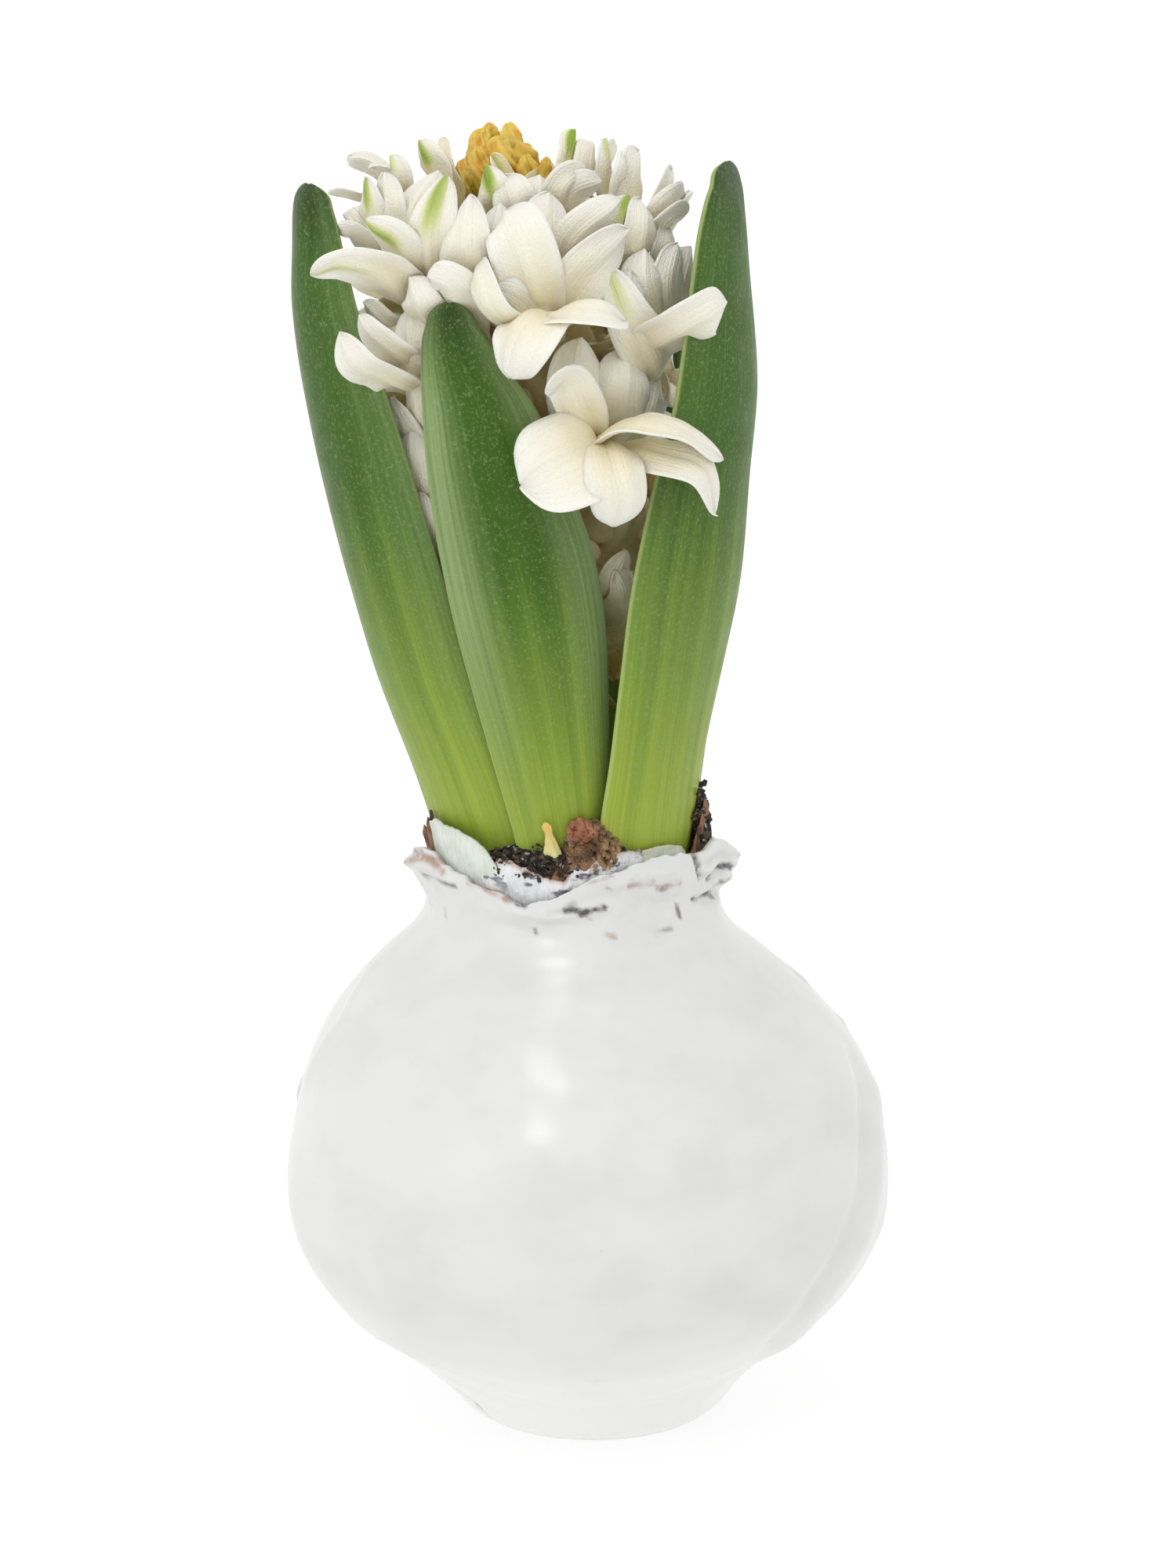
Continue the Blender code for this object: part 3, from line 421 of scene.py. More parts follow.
def wax_material():
    material, tree, shader = plain_material("dipped_wax", (0.84, 0.85, 0.84), 0.24)
    place = add_node(tree, "ShaderNodeTexCoord").outputs["Object"]
    soot = painted(tree, "soot")
    rust = painted(tree, "rust")

    clouds = span(tree, grain(tree, place, 70.0, stretch=(1.0, 1.0, 1.7)), 0.4, 0.7)
    wisps = span(tree, grain(tree, place, 150.0, detail=4.0), 0.48, 0.75)
    colour = tint(tree, figure(tree, "MULTIPLY", clouds, 0.6), (0.685, 0.688, 0.678), (0.615, 0.618, 0.61))
    colour = tint(tree, figure(tree, "MULTIPLY", wisps, 0.25), colour, (0.58, 0.58, 0.57))
    # Painted light: the coat is painted paler towards its foot, to lift the shade that falls under the body.
    level = add_node(tree, "ShaderNodeSeparateXYZ", {"Vector": place}).outputs["Z"]
    colour = tint(tree, span(tree, level, 0.003, 0.022, 0.75, 0.0), colour, (0.85, 0.855, 0.845))
    ragged = span(tree, grain(tree, place, 430.0, detail=5.0), 0.3, 0.75)
    sooty = figure(tree, "MULTIPLY", soot, figure(tree, "ADD", 0.3, ragged))
    rusty = figure(tree, "MULTIPLY", rust, figure(tree, "ADD", 0.25, ragged))
    colour = tint(tree, span(tree, rusty, 0.05, 1.2, 0.0, 0.8), colour, (0.36, 0.19, 0.12))
    colour = tint(tree, span(tree, sooty, 0.05, 1.3, 0.0, 0.95), colour, (0.055, 0.05, 0.055))
    specks = use_group(tree, SPECKS, Vector=place, Size=0.0008, Share=0.035)
    colour = tint(tree, figure(tree, "MULTIPLY", specks, 0.35), colour, (0.26, 0.25, 0.23))
    tree.links.new(colour, shader.inputs["Base Color"])

    gloss = span(tree, grain(tree, place, 140.0), 0.3, 0.7, 0.29, 0.35)
    dulled = figure(tree, "ADD", gloss, figure(tree, "MULTIPLY", sooty, 0.25))
    tree.links.new(dulled, shader.inputs["Roughness"])
    waves = grain(tree, place, 95.0, detail=1.5)
    fine = grain(tree, place, 900.0, detail=2.0)
    height = figure(tree, "ADD", waves, figure(tree, "MULTIPLY", fine, 0.025))
    emboss(tree, shader, height, 0.0012, 0.5)
    shader.inputs["Specular IOR Level"].default_value = 0.5
    shader.inputs["Coat Weight"].default_value = 0.45
    shader.inputs["Coat Roughness"].default_value = 0.2
    let_light_in(shader, 0.15, (1.0, 1.0, 0.95), 0.0015)
    return material


def wax_profile():
    """The section of the coat, from the axis inside the collar over its edge to the foot."""
    inside = [(radius, 0.0, height) for radius, height in WAX_INSIDE]
    outside = [(radius, 0.0, height) for radius, height in WAX_OUTSIDE]
    rising = [along_line(inside, i / 16) for i in range(17)]
    falling = [along_line(outside, (i / WAX_ROWS) ** 1.5) for i in range(WAX_ROWS + 1)]
    return rising + falling


def swelling(azimuth, height):
    """How far the wax stands out from its even profile."""
    rise = 0.0
    for centre, level, wide, tall, amount in WAX_SWELLINGS:
        rise += amount * bell(turn_between(azimuth, centre) / wide) * bell((height - level) / tall)
    return rise


def nearest_on(spot, start, end):
    """The point of a straight stretch that is nearest to a spot."""
    share = (spot - start).dot(end - start) / (end - start).length_squared
    return start.lerp(end, min(max(share, 0.0), 1.0))


def lobe(azimuth):
    return sum(amount * bell(turn_between(azimuth, at) / wide) for at, wide, amount in WAX_LOBES)


def line_gap(azimuth, height, places, step):
    """How far a place on the coat lies from a line over it, with step millimetres to a degree."""
    spot = Vector((0.0, height))
    line = [Vector((turn_between(at, azimuth) * step, level)) for at, level in places]
    return min((spot - nearest_on(spot, *ends)).length for ends in zip(line, line[1:]))


def fold(azimuth, height):
    """How far the folds lift or lower the wax."""
    folds, step = (RIM_FOLDS, RIM_STEP) if height > NECK_Z else (WAX_FOLDS, FOLD_STEP)
    return sum(rise * bell(line_gap(azimuth, height, line, step) / wide) for wide, rise, line in folds)


def rim_height(azimuth):
    """Height of the torn edge, with its small nicks."""
    edge = read_rows(WAX_RIM, azimuth)[0]
    spot = around(0.0, azimuth, 17.0)
    return edge + 0.35 * rough(spot, 1.6) + 0.16 * rough(spot, 0.6, 5.0)


def shape_wax(vert):
    radius, azimuth = vert.co.xy.length, math.degrees(math.atan2(vert.co.x, -vert.co.y))
    height = vert.co.z
    if radius < 0.001:
        vert.co.x = middle_x(height)
        return
    even_rim = WAX_OUTSIDE[0][1]
    share = max((height - NECK_Z) / (even_rim - NECK_Z), 0.0)
    if height > NECK_Z:
        height += share * (rim_height(azimuth) - even_rim)
        radius += share ** 1.5 * lobe(azimuth)
    if radius > 14.0:
        radius += (swelling(azimuth, height) + fold(azimuth, height)) * smoothstep(height / 3.0)
        spot = around(height, azimuth, radius)
        ragged = smoothstep((height - 57.0) / 5.0)
        radius += 0.22 * ragged * rough(spot, 3.0, 2.0) + 0.12 * ragged * rough(spot, 1.2, 4.0)
        radius += 0.3 * smoothstep(height / 6.0) * rough(spot, 9.0, 8.0)
    vert.co = around(height, azimuth, radius)


def spin_round(bm, steps):
    """Spin the section that is in a bmesh into a closed body."""
    bmesh.ops.spin(bm, geom=bm.verts[:] + bm.edges[:], axis=(0, 0, 1), angle=math.tau, steps=steps,
                   use_merge=True)
    bmesh.ops.remove_doubles(bm, verts=bm.verts, dist=0.0005)
    bmesh.ops.recalc_face_normals(bm, faces=bm.faces)


def make_wax():
    bm = bmesh.new()
    verts = [bm.verts.new(point) for point in wax_profile()]
    for pair in zip(verts, verts[1:]):
        bm.edges.new(pair)
    spin_round(bm, WAX_STEPS)
    soot = bm.verts.layers.float.new("soot")
    rust = bm.verts.layers.float.new("rust")
    for vert in bm.verts:
        shape_wax(vert)
        azimuth = math.degrees(math.atan2(vert.co.x - middle_x(vert.co.z), -vert.co.y))
        for at, level, wide, tall, sooty, rusty in WAX_STAINS:
            near = bell(turn_between(azimuth, at) / wide) * bell((vert.co.z - level) / tall)
            vert[soot] += near * sooty * STAIN_STRENGTH
            vert[rust] += near * rusty * STAIN_STRENGTH
        if vert.co.z > NECK_Z:
            for wide, sooty, rusty, places in WAX_STREAKS:
                near = bell(line_gap(azimuth, vert.co.z, places, RIM_STEP) / wide)
                vert[soot] += near * sooty
                vert[rust] += near * rusty
    add_piece("wax_coat", bm, wax_material(), "wax", "wax_coat")


make_wax()


# The bulb's own skin: dry brown scales, grown in rings round the leaves. Only their torn tips
# show, inside the wax collar: some bare and papery, some dipped and white, with a mint-coloured
# fresh flake at the left and a pale plate at the right.
SCALE_RING = ((15.5, 57.6), (15.3, 60.5), (15.4, 64.6), (14.9, 65.0), (14.6, 64.4), (14.1, 61.0),
              (13.6, 57.6))
SCALE_STEPS = 220
# Where the ring's edge stands up or dips: (azimuth, spread, rise).
SCALE_TEARS = ((7, 9, 3.6), (76, 8, 5.6), (-80, 6, 3.0), (-67, 4, 4.2), (-24, 10, -0.4), (45, 12, 0.6),
               (150, 14, 2.4), (215, 12, 1.8), (180, 6, 1.5), (110, 8, 1.2))


def sheet(columns, rows, middle_at, thickness_at, marks=None):
    """A closed two-sided sheet. middle_at places a point from u, -1 to 1 across, and v, 0 to 1 along."""
    bm = bmesh.new()
    bmesh.ops.create_grid(bm, x_segments=columns, y_segments=rows, size=1.0)
    lift = bm.verts.layers.float_vector.new("lift")
    layers = {name: bm.verts.layers.float.new(name) for name in (marks or {})}
    uv = bm.loops.layers.uv.new("UVMap")
    for face in bm.faces:
        for loop in face.loops:
            loop[uv].uv = ((loop.vert.co.x + 1.0) / 2.0, (loop.vert.co.y + 1.0) / 2.0)
    half = {}
    for vert in bm.verts:
        u, v = vert.co.x, (vert.co.y + 1.0) / 2.0
        for name, layer in layers.items():
            vert[layer] = marks[name](u, v)
        half[vert] = thickness_at(u, v) / 2.0
        vert.co = middle_at(u, v)
    bm.normal_update()
    for vert in bm.verts:
        vert[lift] = vert.normal * half[vert]
    first = set(bm.verts)
    bmesh.ops.extrude_face_region(bm, geom=bm.faces[:])
    for vert in bm.verts:
        vert.co += -vert[lift] if vert in first else vert[lift]
    bm.verts.layers.float_vector.remove(lift)
    bmesh.ops.recalc_face_normals(bm, faces=bm.faces)
    return bm


def merge(target, source):
    """Add one bmesh to another."""
    mesh = bpy.data.meshes.new("scrap")
    source.to_mesh(mesh)
    source.free()
    target.from_mesh(mesh)
    bpy.data.meshes.remove(mesh)


def soften(piece):
    """Round a piece off with one level of subdivision."""
    surface = piece.modifiers.new("round", "SUBSURF")
    surface.levels = surface.render_levels = 1


def make_fibres():
    """Fine lines that run along a piece: Across and Along are how many there are each way."""
    group, entry, leave = new_group("fibres", ("Across", "Along"))
    stretch = add_node(group, "ShaderNodeCombineXYZ", {0: entry.outputs["Across"], 1: entry.outputs["Along"],
                                                       2: 1.0})
    lines = add_node(group, "ShaderNodeVectorMath", {0: entry.outputs["Vector"], 1: stretch.outputs[0]},
                     operation="MULTIPLY")
    group.links.new(grain(group, lines.outputs[0], 1.0, detail=2.0), leave.inputs["Value"])
    return group


FIBRES = make_fibres()


def scale_material(name, pale, dark, rust, roughness, soot=0.0):
    """Skin of the bulb: fibres along it, darker patches, a browner torn edge, and soot."""
    material, tree, shader = plain_material(name, pale, roughness)
    coordinates = add_node(tree, "ShaderNodeTexCoord")
    place = coordinates.outputs["Object"]
    fibres = use_group(tree, FIBRES, Vector=coordinates.outputs["UV"], Across=60.0, Along=3.0)
    patches = grain(tree, place, 450.0, detail=5.0)
    colour = tint(tree, span(tree, patches, 0.4, 0.65), pale, dark)
    colour = tint(tree, span(tree, fibres, 0.35, 0.7, 0.0, 0.35), colour, dark)
    edge = add_node(tree, "ShaderNodeSeparateXYZ", {0: coordinates.outputs["UV"]}).outputs[1]
    edge = figure(tree, "ADD", edge, figure(tree, "MULTIPLY", grain(tree, place, 700.0), 0.25))
    colour = tint(tree, span(tree, edge, 1.0, 1.16, 0.0, 0.8), colour, rust)
    blots = span(tree, grain(tree, place, 520.0, detail=3.0, stretch=(0.7, 1.0, 1.4)), 0.5, 0.6, 0.0, soot)
    blots = figure(tree, "MULTIPLY", blots, span(tree, edge, 0.35, 0.9))
    colour = tint(tree, blots, colour, (0.045, 0.045, 0.06))
    tree.links.new(colour, shader.inputs["Base Color"])
    height = figure(tree, "ADD", fibres, patches)
    emboss(tree, shader, height, 0.0004, 0.7)
    return material


def make_bulb_ring(material):
    """The bare brown scales, as a ragged ring between the wax and the leaves."""
    bm = bmesh.new()
    verts = [bm.verts.new((radius, 0.0, height)) for radius, height in SCALE_RING]
    edges = [bm.edges.new(pair) for pair in zip(verts, verts[1:] + verts[:1])]
    bmesh.ops.subdivide_edges(bm, edges=edges, cuts=3)
    spin_round(bm, SCALE_STEPS)
    for vert in bm.verts:
        radius, azimuth = vert.co.xy.length, math.degrees(math.atan2(vert.co.x, -vert.co.y))
        share = max(vert.co.z - NECK_Z, 0.0) / 7.0
        spot = around(0.0, azimuth, 15.0)
        torn = sum(rise * bell(turn_between(azimuth, at) / wide) for at, wide, rise in SCALE_TEARS)
        torn += 1.1 * rough(spot, 1.8, 9.0) + 0.5 * rough(spot, 0.6, 11.0) + 0.6
        height = vert.co.z + share ** 2 * torn
        radius += 0.2 * max(height - 64.2, 0.0) + 0.25 * rough(around(height, azimuth, radius), 1.2, 3.0)
        vert.co = around(height, azimuth, radius)
    add_piece("bulb_scales", bm, material, "bulb_scales", "bulb")


def scale_tip(name, left, right, top, foot, low_reach, high_reach, thick, material, ragged):
    """One torn scale: top lists (azimuth, height) along its edge."""
    def place(u, v):
        azimuth = left + (right - left) * (u + 1.0) / 2.0
        spot = around(0.0, azimuth, 15.0)
        edge = read_rows(top, azimuth)[0] + ragged * (rough(spot, 1.1, left) + 0.5 * rough(spot, 0.45, right))
        height = foot + (edge - foot) * v
        reach = low_reach + (high_reach - low_reach) * v
        reach += 0.3 * rough(around(height, azimuth, reach), 2.2, left)
        return around(height, azimuth, reach)

    def thickness(u, v):
        return thick * (1.0 - 0.6 * smoothstep((v - 0.75) * 4.0)) * (1.0 - 0.6 * abs(u) ** 6)

    add_piece(name, sheet(56, 34, place, thickness), material, "bulb_scales")


def make_scales():
    brown = scale_material("papery_scale", (0.30, 0.15, 0.08), (0.09, 0.045, 0.025), (0.36, 0.14, 0.07), 0.85)
    dark = scale_material("rotten_scale", (0.10, 0.06, 0.04), (0.022, 0.016, 0.012), (0.14, 0.07, 0.04), 0.9)
    waxed = scale_material("waxed_scale", (0.76, 0.775, 0.785), (0.68, 0.70, 0.72), (0.50, 0.30, 0.22), 0.3,
                           soot=0.9)
    mint = scale_material("fresh_scale", (0.72, 0.77, 0.70), (0.69, 0.745, 0.67), (0.66, 0.68, 0.58), 0.4)
    plate = scale_material("pale_plate", (0.68, 0.73, 0.64), (0.60, 0.67, 0.56), (0.56, 0.52, 0.40), 0.4)
    make_bulb_ring(brown)
    scale_tip("fresh_flake", -66, -27.5,
              ((-66, 69.6), (-61, 70.2), (-54, 69.8), (-47, 69.7), (-40, 69.2), (-34, 68.4), (-30, 67.4),
               (-27.5, 66.4)),
              60.5, 15.0, 16.0, 0.8, mint, 0.2)
    scale_tip("waxed_front", -37, 17,
              ((-37, 65.4), (-30, 66.4), (-22, 66.9), (-14, 66.0), (-5, 65.2), (1, 65.6), (4, 67.2),
               (7, 65.8), (10, 67.3), (17, 66.9)),
              61.0, 15.0, 15.7, 0.9, waxed, 0.7)
    scale_tip("waxed_right", 9, 32, ((9, 66.0), (13, 67.2), (16, 66.8), (20, 68.2), (26, 68.0), (32, 67.6)),
              61.0, 15.1, 16.0, 0.9, waxed, 0.7)
    scale_tip("pale_plate", 27, 58, ((27, 67.4), (34, 67.8), (45, 67.9), (54, 67.4), (58, 66.6)),
              61.0, 15.0, 15.7, 0.9, plate, 0.15)
    scale_tip("brown_tip_left", -70, -62.5, ((-70, 68.5), (-67.5, 70.8), (-65, 68.8), (-62.5, 66.8)),
              61.0, 15.2, 15.7, 0.6, dark, 0.2)
    scale_tip("brown_tip_right", 66, 90, ((66, 67.2), (70, 68.6), (76, 69.4), (84, 69.0), (90, 67.0)),
              60.0, 15.0, 16.0, 1.1, dark, 0.9)
    scale_tip("brown_tip_back", 140, 175, ((140, 66.0), (152, 68.5), (165, 68.0), (175, 65.5)),
              60.0, 15.1, 16.0, 0.8, brown, 0.6)
    scale_tip("brown_tip_back_left", -155, -120, ((-155, 65.5), (-145, 67.8), (-130, 67.0), (-120, 65.0)),
              60.0, 15.1, 16.0, 0.8, brown, 0.6)


make_scales()


# Crumbs and dead fibres: soil that was caught between the scales, a crumpled reddish paper of
# old skin, and a tuft of tan fibres. They lie in front of the leaves, inside the collar.
CRUMB_SHOWERS = (  # count, azimuths, reaches, heights, sizes
    (170, (-32, 6), (14.9, 16.0), (65.2, 67.6), (0.15, 0.42)),
    (60, (-13, 4), (15.0, 15.8), (67.2, 69.2), (0.12, 0.34)),
    (80, (68, 84), (15.2, 16.6), (66.5, 73.2), (0.15, 0.48)),
    (30, (4, 24), (15.2, 16.3), (65.8, 69.5), (0.12, 0.34)),
    (24, (120, 250), (14.4, 15.6), (64.8, 66.4), (0.3, 0.6)),
)
SEED = 20


def crumb_material():
    material, tree, shader = plain_material("soil_crumb", (0.05, 0.035, 0.02), 0.95)
    place = add_node(tree, "ShaderNodeTexCoord").outputs["Object"]
    patches = grain(tree, place, 1400.0, detail=4.0)
    colour = tint(tree, span(tree, patches, 0.42, 0.66), (0.012, 0.009, 0.006), (0.11, 0.075, 0.045))
    white = span(tree, grain(tree, place, 1100.0), 0.60, 0.66)
    colour = tint(tree, figure(tree, "MULTIPLY", white, 0.75), colour, (0.60, 0.60, 0.61))
    tree.links.new(colour, shader.inputs["Base Color"])
    emboss(tree, shader, patches, 0.0003, 0.9)
    return material


CRUMB = crumb_material()


def make_crumbs():
    rng = random.Random(SEED)
    bm = bmesh.new()
    for count, azimuths, reaches, heights, sizes in CRUMB_SHOWERS:
        for _ in range(count):
            centre = around(rng.uniform(*heights), rng.uniform(*azimuths), rng.uniform(*reaches))
            turn = Matrix.Rotation(rng.uniform(0.0, math.tau), 4, Vector((rng.random(), rng.random(), 1.0)))
            size = rng.uniform(*sizes)
            flat = Matrix.Diagonal((size, size * rng.uniform(0.5, 1.0), size * rng.uniform(0.4, 0.9), 1.0))
            made = bmesh.ops.create_icosphere(bm, subdivisions=1, radius=1.0,
                                              matrix=Matrix.Translation(centre) @ turn @ flat)
            for vert in made["verts"]:
                away = (vert.co - centre).normalized()
                vert.co += away * size * 0.9 * rough(vert.co, 0.4, size)
    add_piece("soil_crumbs", bm, CRUMB, "bulb_scales")


def crumpled(name, azimuth, height, reach, wide, tall, grain_size, depth, seed, material):
    """A small crumpled scrap with a ragged round outline, in front of the leaves."""
    def ridge(spot, size):
        return 1.0 - 2.2 * abs(rough(spot, size, seed))

    def place(u, v):
        w = 2.0 * v - 1.0
        x, z = u * math.sqrt(1.0 - 0.5 * w * w), w * math.sqrt(1.0 - 0.5 * u * u)
        spot = Vector((x * wide / 2.0, z * tall / 2.0, seed))
        ragged = Vector((x, z, 0.0)).length
        spot *= 1.0 + ragged * (0.5 * rough(spot, 0.35 * wide, seed) + 0.3 * rough(spot, grain_size, seed))
        out = depth * (0.6 * ridge(spot, 1.6 * grain_size) + 0.4 * ridge(spot, 0.7 * grain_size))
        out -= depth * 1.5 * ragged ** 4
        turn = math.degrees(spot.x / reach)
        return around(height + spot.y, azimuth + turn, reach + out)
    add_piece(name, sheet(56, 50, place, lambda u, v: 0.2), material, "bulb_scales")


def make_dead_skin():
    paper = scale_material("red_paper", (0.52, 0.22, 0.12), (0.27, 0.10, 0.055), (0.52, 0.25, 0.15), 0.8)
    paper_dark = scale_material("dark_paper", (0.10, 0.055, 0.03), (0.03, 0.018, 0.012), (0.20, 0.11, 0.06),
                                0.85)
    fibre = scale_material("tan_fibre", (0.38, 0.24, 0.12), (0.12, 0.07, 0.03), (0.40, 0.30, 0.17), 0.9)
    crumpled("red_paper", 7.8, 70.4, 16.1, 3.4, 2.6, 0.8, 1.2, 1.0, paper)
    crumpled("tan_tuft", 15.5, 67.8, 15.7, 5.2, 4.6, 0.8, 1.1, 7.0, fibre)
    crumpled("tan_tuft_high", 13.5, 70.2, 15.3, 4.2, 3.0, 0.7, 0.8, 9.0, fibre)
    crumpled("tan_tuft_left", 7.0, 68.2, 15.6, 3.8, 3.2, 0.7, 0.9, 12.0, fibre)
    crumpled("soil_bed", -11.0, 66.4, 14.9, 13.0, 3.4, 0.6, 0.9, 15.0, CRUMB)
    crumpled("soil_front", -8.0, 67.3, 15.9, 5.6, 1.7, 0.5, 0.6, 21.0, CRUMB)
    crumpled("soil_hollow", -1.5, 66.6, 15.5, 3.2, 2.4, 0.8, 0.7, 24.0, paper_dark)
    crumpled("soil_strip", 79.0, 69.6, 15.6, 3.8, 7.0, 0.6, 1.0, 18.0, CRUMB)


make_crumbs()
make_dead_skin()


# The leaves: five thick straps that stand round the stem, each one folded into a channel and
# drawn together into a blunt hood at its tip. They are pale where they come out of the bulb.
LEAF_ROWS = {  # (height, reach of the outer face, left edge, right edge), edges as azimuths
    "leaf_left": (
        (57.4, 12.1, -92, -14), (64, 13.5, -91.5, -15), (70, 14.7, -91, -17),
        (76, 16.2, -89, -21), (87, 19.5, -85, -27.8), (100, 22.4, -80.5, -32),
        (113, 24.3, -79, -36.5), (126, 24.8, -77.5, -46), (133, 24.0, -76, -52),
        (137.2, 23.2, -75, -57), (139.4, 22.6, -66.6, -65.4)),
    "leaf_front": (
        (57.4, 12.1, -21, 25), (64, 13.5, -21, 25), (70, 14.6, -21.5, 25),
        (75, 15.6, -23.6, 25), (84, 17.6, -26.8, 25), (93.5, 20.1, -29, 23.6),
        (102, 21.6, -29.5, 19.6), (110.6, 22.6, -28.6, 11), (117, 22.7, -27.6, 5),
        (121.5, 22.4, -26.8, -3), (125.7, 21.9, -24, -10), (127.9, 21.4, -17.6, -16.4)),
    "leaf_right": (
        (57.4, 12.2, 14.5, 86), (64, 13.6, 14.8, 86), (70, 14.9, 15.6, 85),
        (77.6, 17.0, 20, 80), (87.5, 20.4, 22.8, 76), (97.5, 23.9, 24.9, 71.5),
        (109, 25.9, 31.5, 71.5), (117, 27.0, 37.3, 74), (122, 27.3, 40.2, 74),
        (130.5, 27.2, 46, 74), (136.0, 27.0, 51, 75.5), (139.8, 26.8, 57, 75),
        (141.9, 26.4, 66, 67)),
    "leaf_back_right": (
        (57.4, 12.1, 81, 175), (64, 13.4, 82, 175), (72, 15.2, 86, 172),
        (85, 18.2, 93, 163), (98, 20.6, 100, 155), (110, 21.8, 107, 148),
        (117, 21.9, 114, 140), (120.6, 21.6, 122, 132), (121.8, 21.4, 126.4, 127.6)),
    "leaf_back_left": (
        (57.4, 12.1, 170, 273), (64, 13.4, 171, 273), (72, 15.1, 176, 270),
        (85, 17.9, 186, 263), (98, 20.2, 196, 254), (108, 21.3, 204, 246),
        (114, 21.4, 212, 239), (117.6, 21.1, 220, 231), (118.8, 20.9, 224.9, 226.1)),
}
LEAF_THICK = 2.6
LEAF_EDGE = 0.8
LEAF_WRAP = 1.25         # a leaf's left edge lies this far outside its middle
SIDE_HOLD = {"leaf_right": 0.75}  # how much of a shift inward is kept from narrowing a leaf
TIP_GROOVES = {"leaf_left": (0.3, 0.55), "leaf_right": (-0.1, 0.2)}  # place across, depth
# How much of the pale waxy bloom each leaf still has.
LEAF_BLOOM = {"leaf_left": 0.35, "leaf_front": 1.0, "leaf_right": 0.12, "leaf_back_right": 0.6,
              "leaf_back_left": 0.6}


def leaf_material():
    material, tree, shader = plain_material("hyacinth_leaf", (0.13, 0.25, 0.06), 0.4)
    coordinates = add_node(tree, "ShaderNodeTexCoord")
    place, uv = coordinates.outputs["Object"], coordinates.outputs["UV"]
    axes = add_node(tree, "ShaderNodeSeparateXYZ", {0: uv})
    across, along = axes.outputs[0], axes.outputs[1]
    wide_bands = use_group(tree, FIBRES, Vector=uv, Across=9.0, Along=0.8)
    bands = use_group(tree, FIBRES, Vector=uv, Across=34.0, Along=1.2)
    veins = use_group(tree, FIBRES, Vector=uv, Across=150.0, Along=2.0)

    unevenness = figure(tree, "MULTIPLY", figure(tree, "SUBTRACT", wide_bands, 0.5), 0.3)
    level = figure(tree, "ADD", along, unevenness)
    colour = tint(tree, span(tree, level, 0.03, 0.26), (0.36, 0.44, 0.05), (0.18, 0.285, 0.035))
    colour = tint(tree, span(tree, level, 0.18, 0.46), colour, (0.046, 0.115, 0.008))
    colour = tint(tree, span(tree, level, 0.70, 0.95), colour, (0.028, 0.062, 0.009))
    bloom = span(tree, figure(tree, "ABSOLUTE", figure(tree, "SUBTRACT", across, 0.52)), 0.10, 0.46)
    bloom = figure(tree, "MULTIPLY", bloom, span(tree, along, 0.05, 0.40))
    bloom = figure(tree, "MULTIPLY", bloom, span(tree, along, 0.62, 0.95, 1.0, 0.35))
    bloom = figure(tree, "MULTIPLY", bloom, span(tree, bands, 0.3, 0.65, 0.5, 1.0))
    bloomed = painted(tree, "bloom")
    colour = tint(tree, figure(tree, "MULTIPLY", bloom, bloomed), colour, (0.30, 0.40, 0.18))
    colour = tint(tree, span(tree, bands, 0.5, 0.75, 0.0, 0.3), colour, (0.15, 0.25, 0.05))
    darker = tint(tree, 1.0, colour, (0.80, 0.84, 0.72), "MULTIPLY")
    colour = tint(tree, span(tree, veins, 0.35, 0.65, 0.85, 0.0), colour, darker)
    pores = grain(tree, place, 2600.0, detail=2.0)
    colour = tint(tree, span(tree, pores, 0.5, 0.8, 0.0, 0.35), colour, (0.30, 0.40, 0.18))
    specks = use_group(tree, SPECKS, Vector=place, Size=0.00034, Share=0.45)
    colour = tint(tree, figure(tree, "MULTIPLY", specks, 0.28), colour, (0.36, 0.47, 0.22))
    dust = use_group(tree, SPECKS, Vector=place, Size=0.0009, Share=0.02)
    colour = tint(tree, figure(tree, "MULTIPLY", dust, 0.8), colour, (0.75, 0.80, 0.66))
    margin = painted(tree, "margin")
    colour = tint(tree, span(tree, margin, 0.15, 0.9, 0.0, 0.6), colour, (0.42, 0.50, 0.19))
    tree.links.new(colour, shader.inputs["Base Color"])

    gloss = span(tree, grain(tree, place, 300.0), 0.3, 0.7, 0.34, 0.46)
    tree.links.new(gloss, shader.inputs["Roughness"])
    height = figure(tree, "ADD", veins, figure(tree, "MULTIPLY", pores, 0.5))
    emboss(tree, shader, height, 0.00016, 0.55)
    shader.inputs["Specular IOR Level"].default_value = 0.18
    let_light_in(shader, 0.12, (0.5, 1.0, 0.2), 0.0012)
    return material


def leaf_edges(rows, height):
    """Reach, left edge and right edge at a height; the last stretch closes in a round tip."""
    reach, left, right = read_rows(rows, height)
    start, end = rows[-2][0], rows[-1][0]
    if height > start:
        share = (height - start) / (end - start)
        middle = (rows[-2][2] + rows[-2][3]) / 2.0 * (1.0 - share) + (rows[-1][2] + rows[-1][3]) / 2.0 * share
        half = (rows[-2][3] - rows[-2][2]) / 2.0 * math.sqrt(max(1.0 - share * share, 0.003))
        left, right = middle - half, middle + half
    return reach, left, right


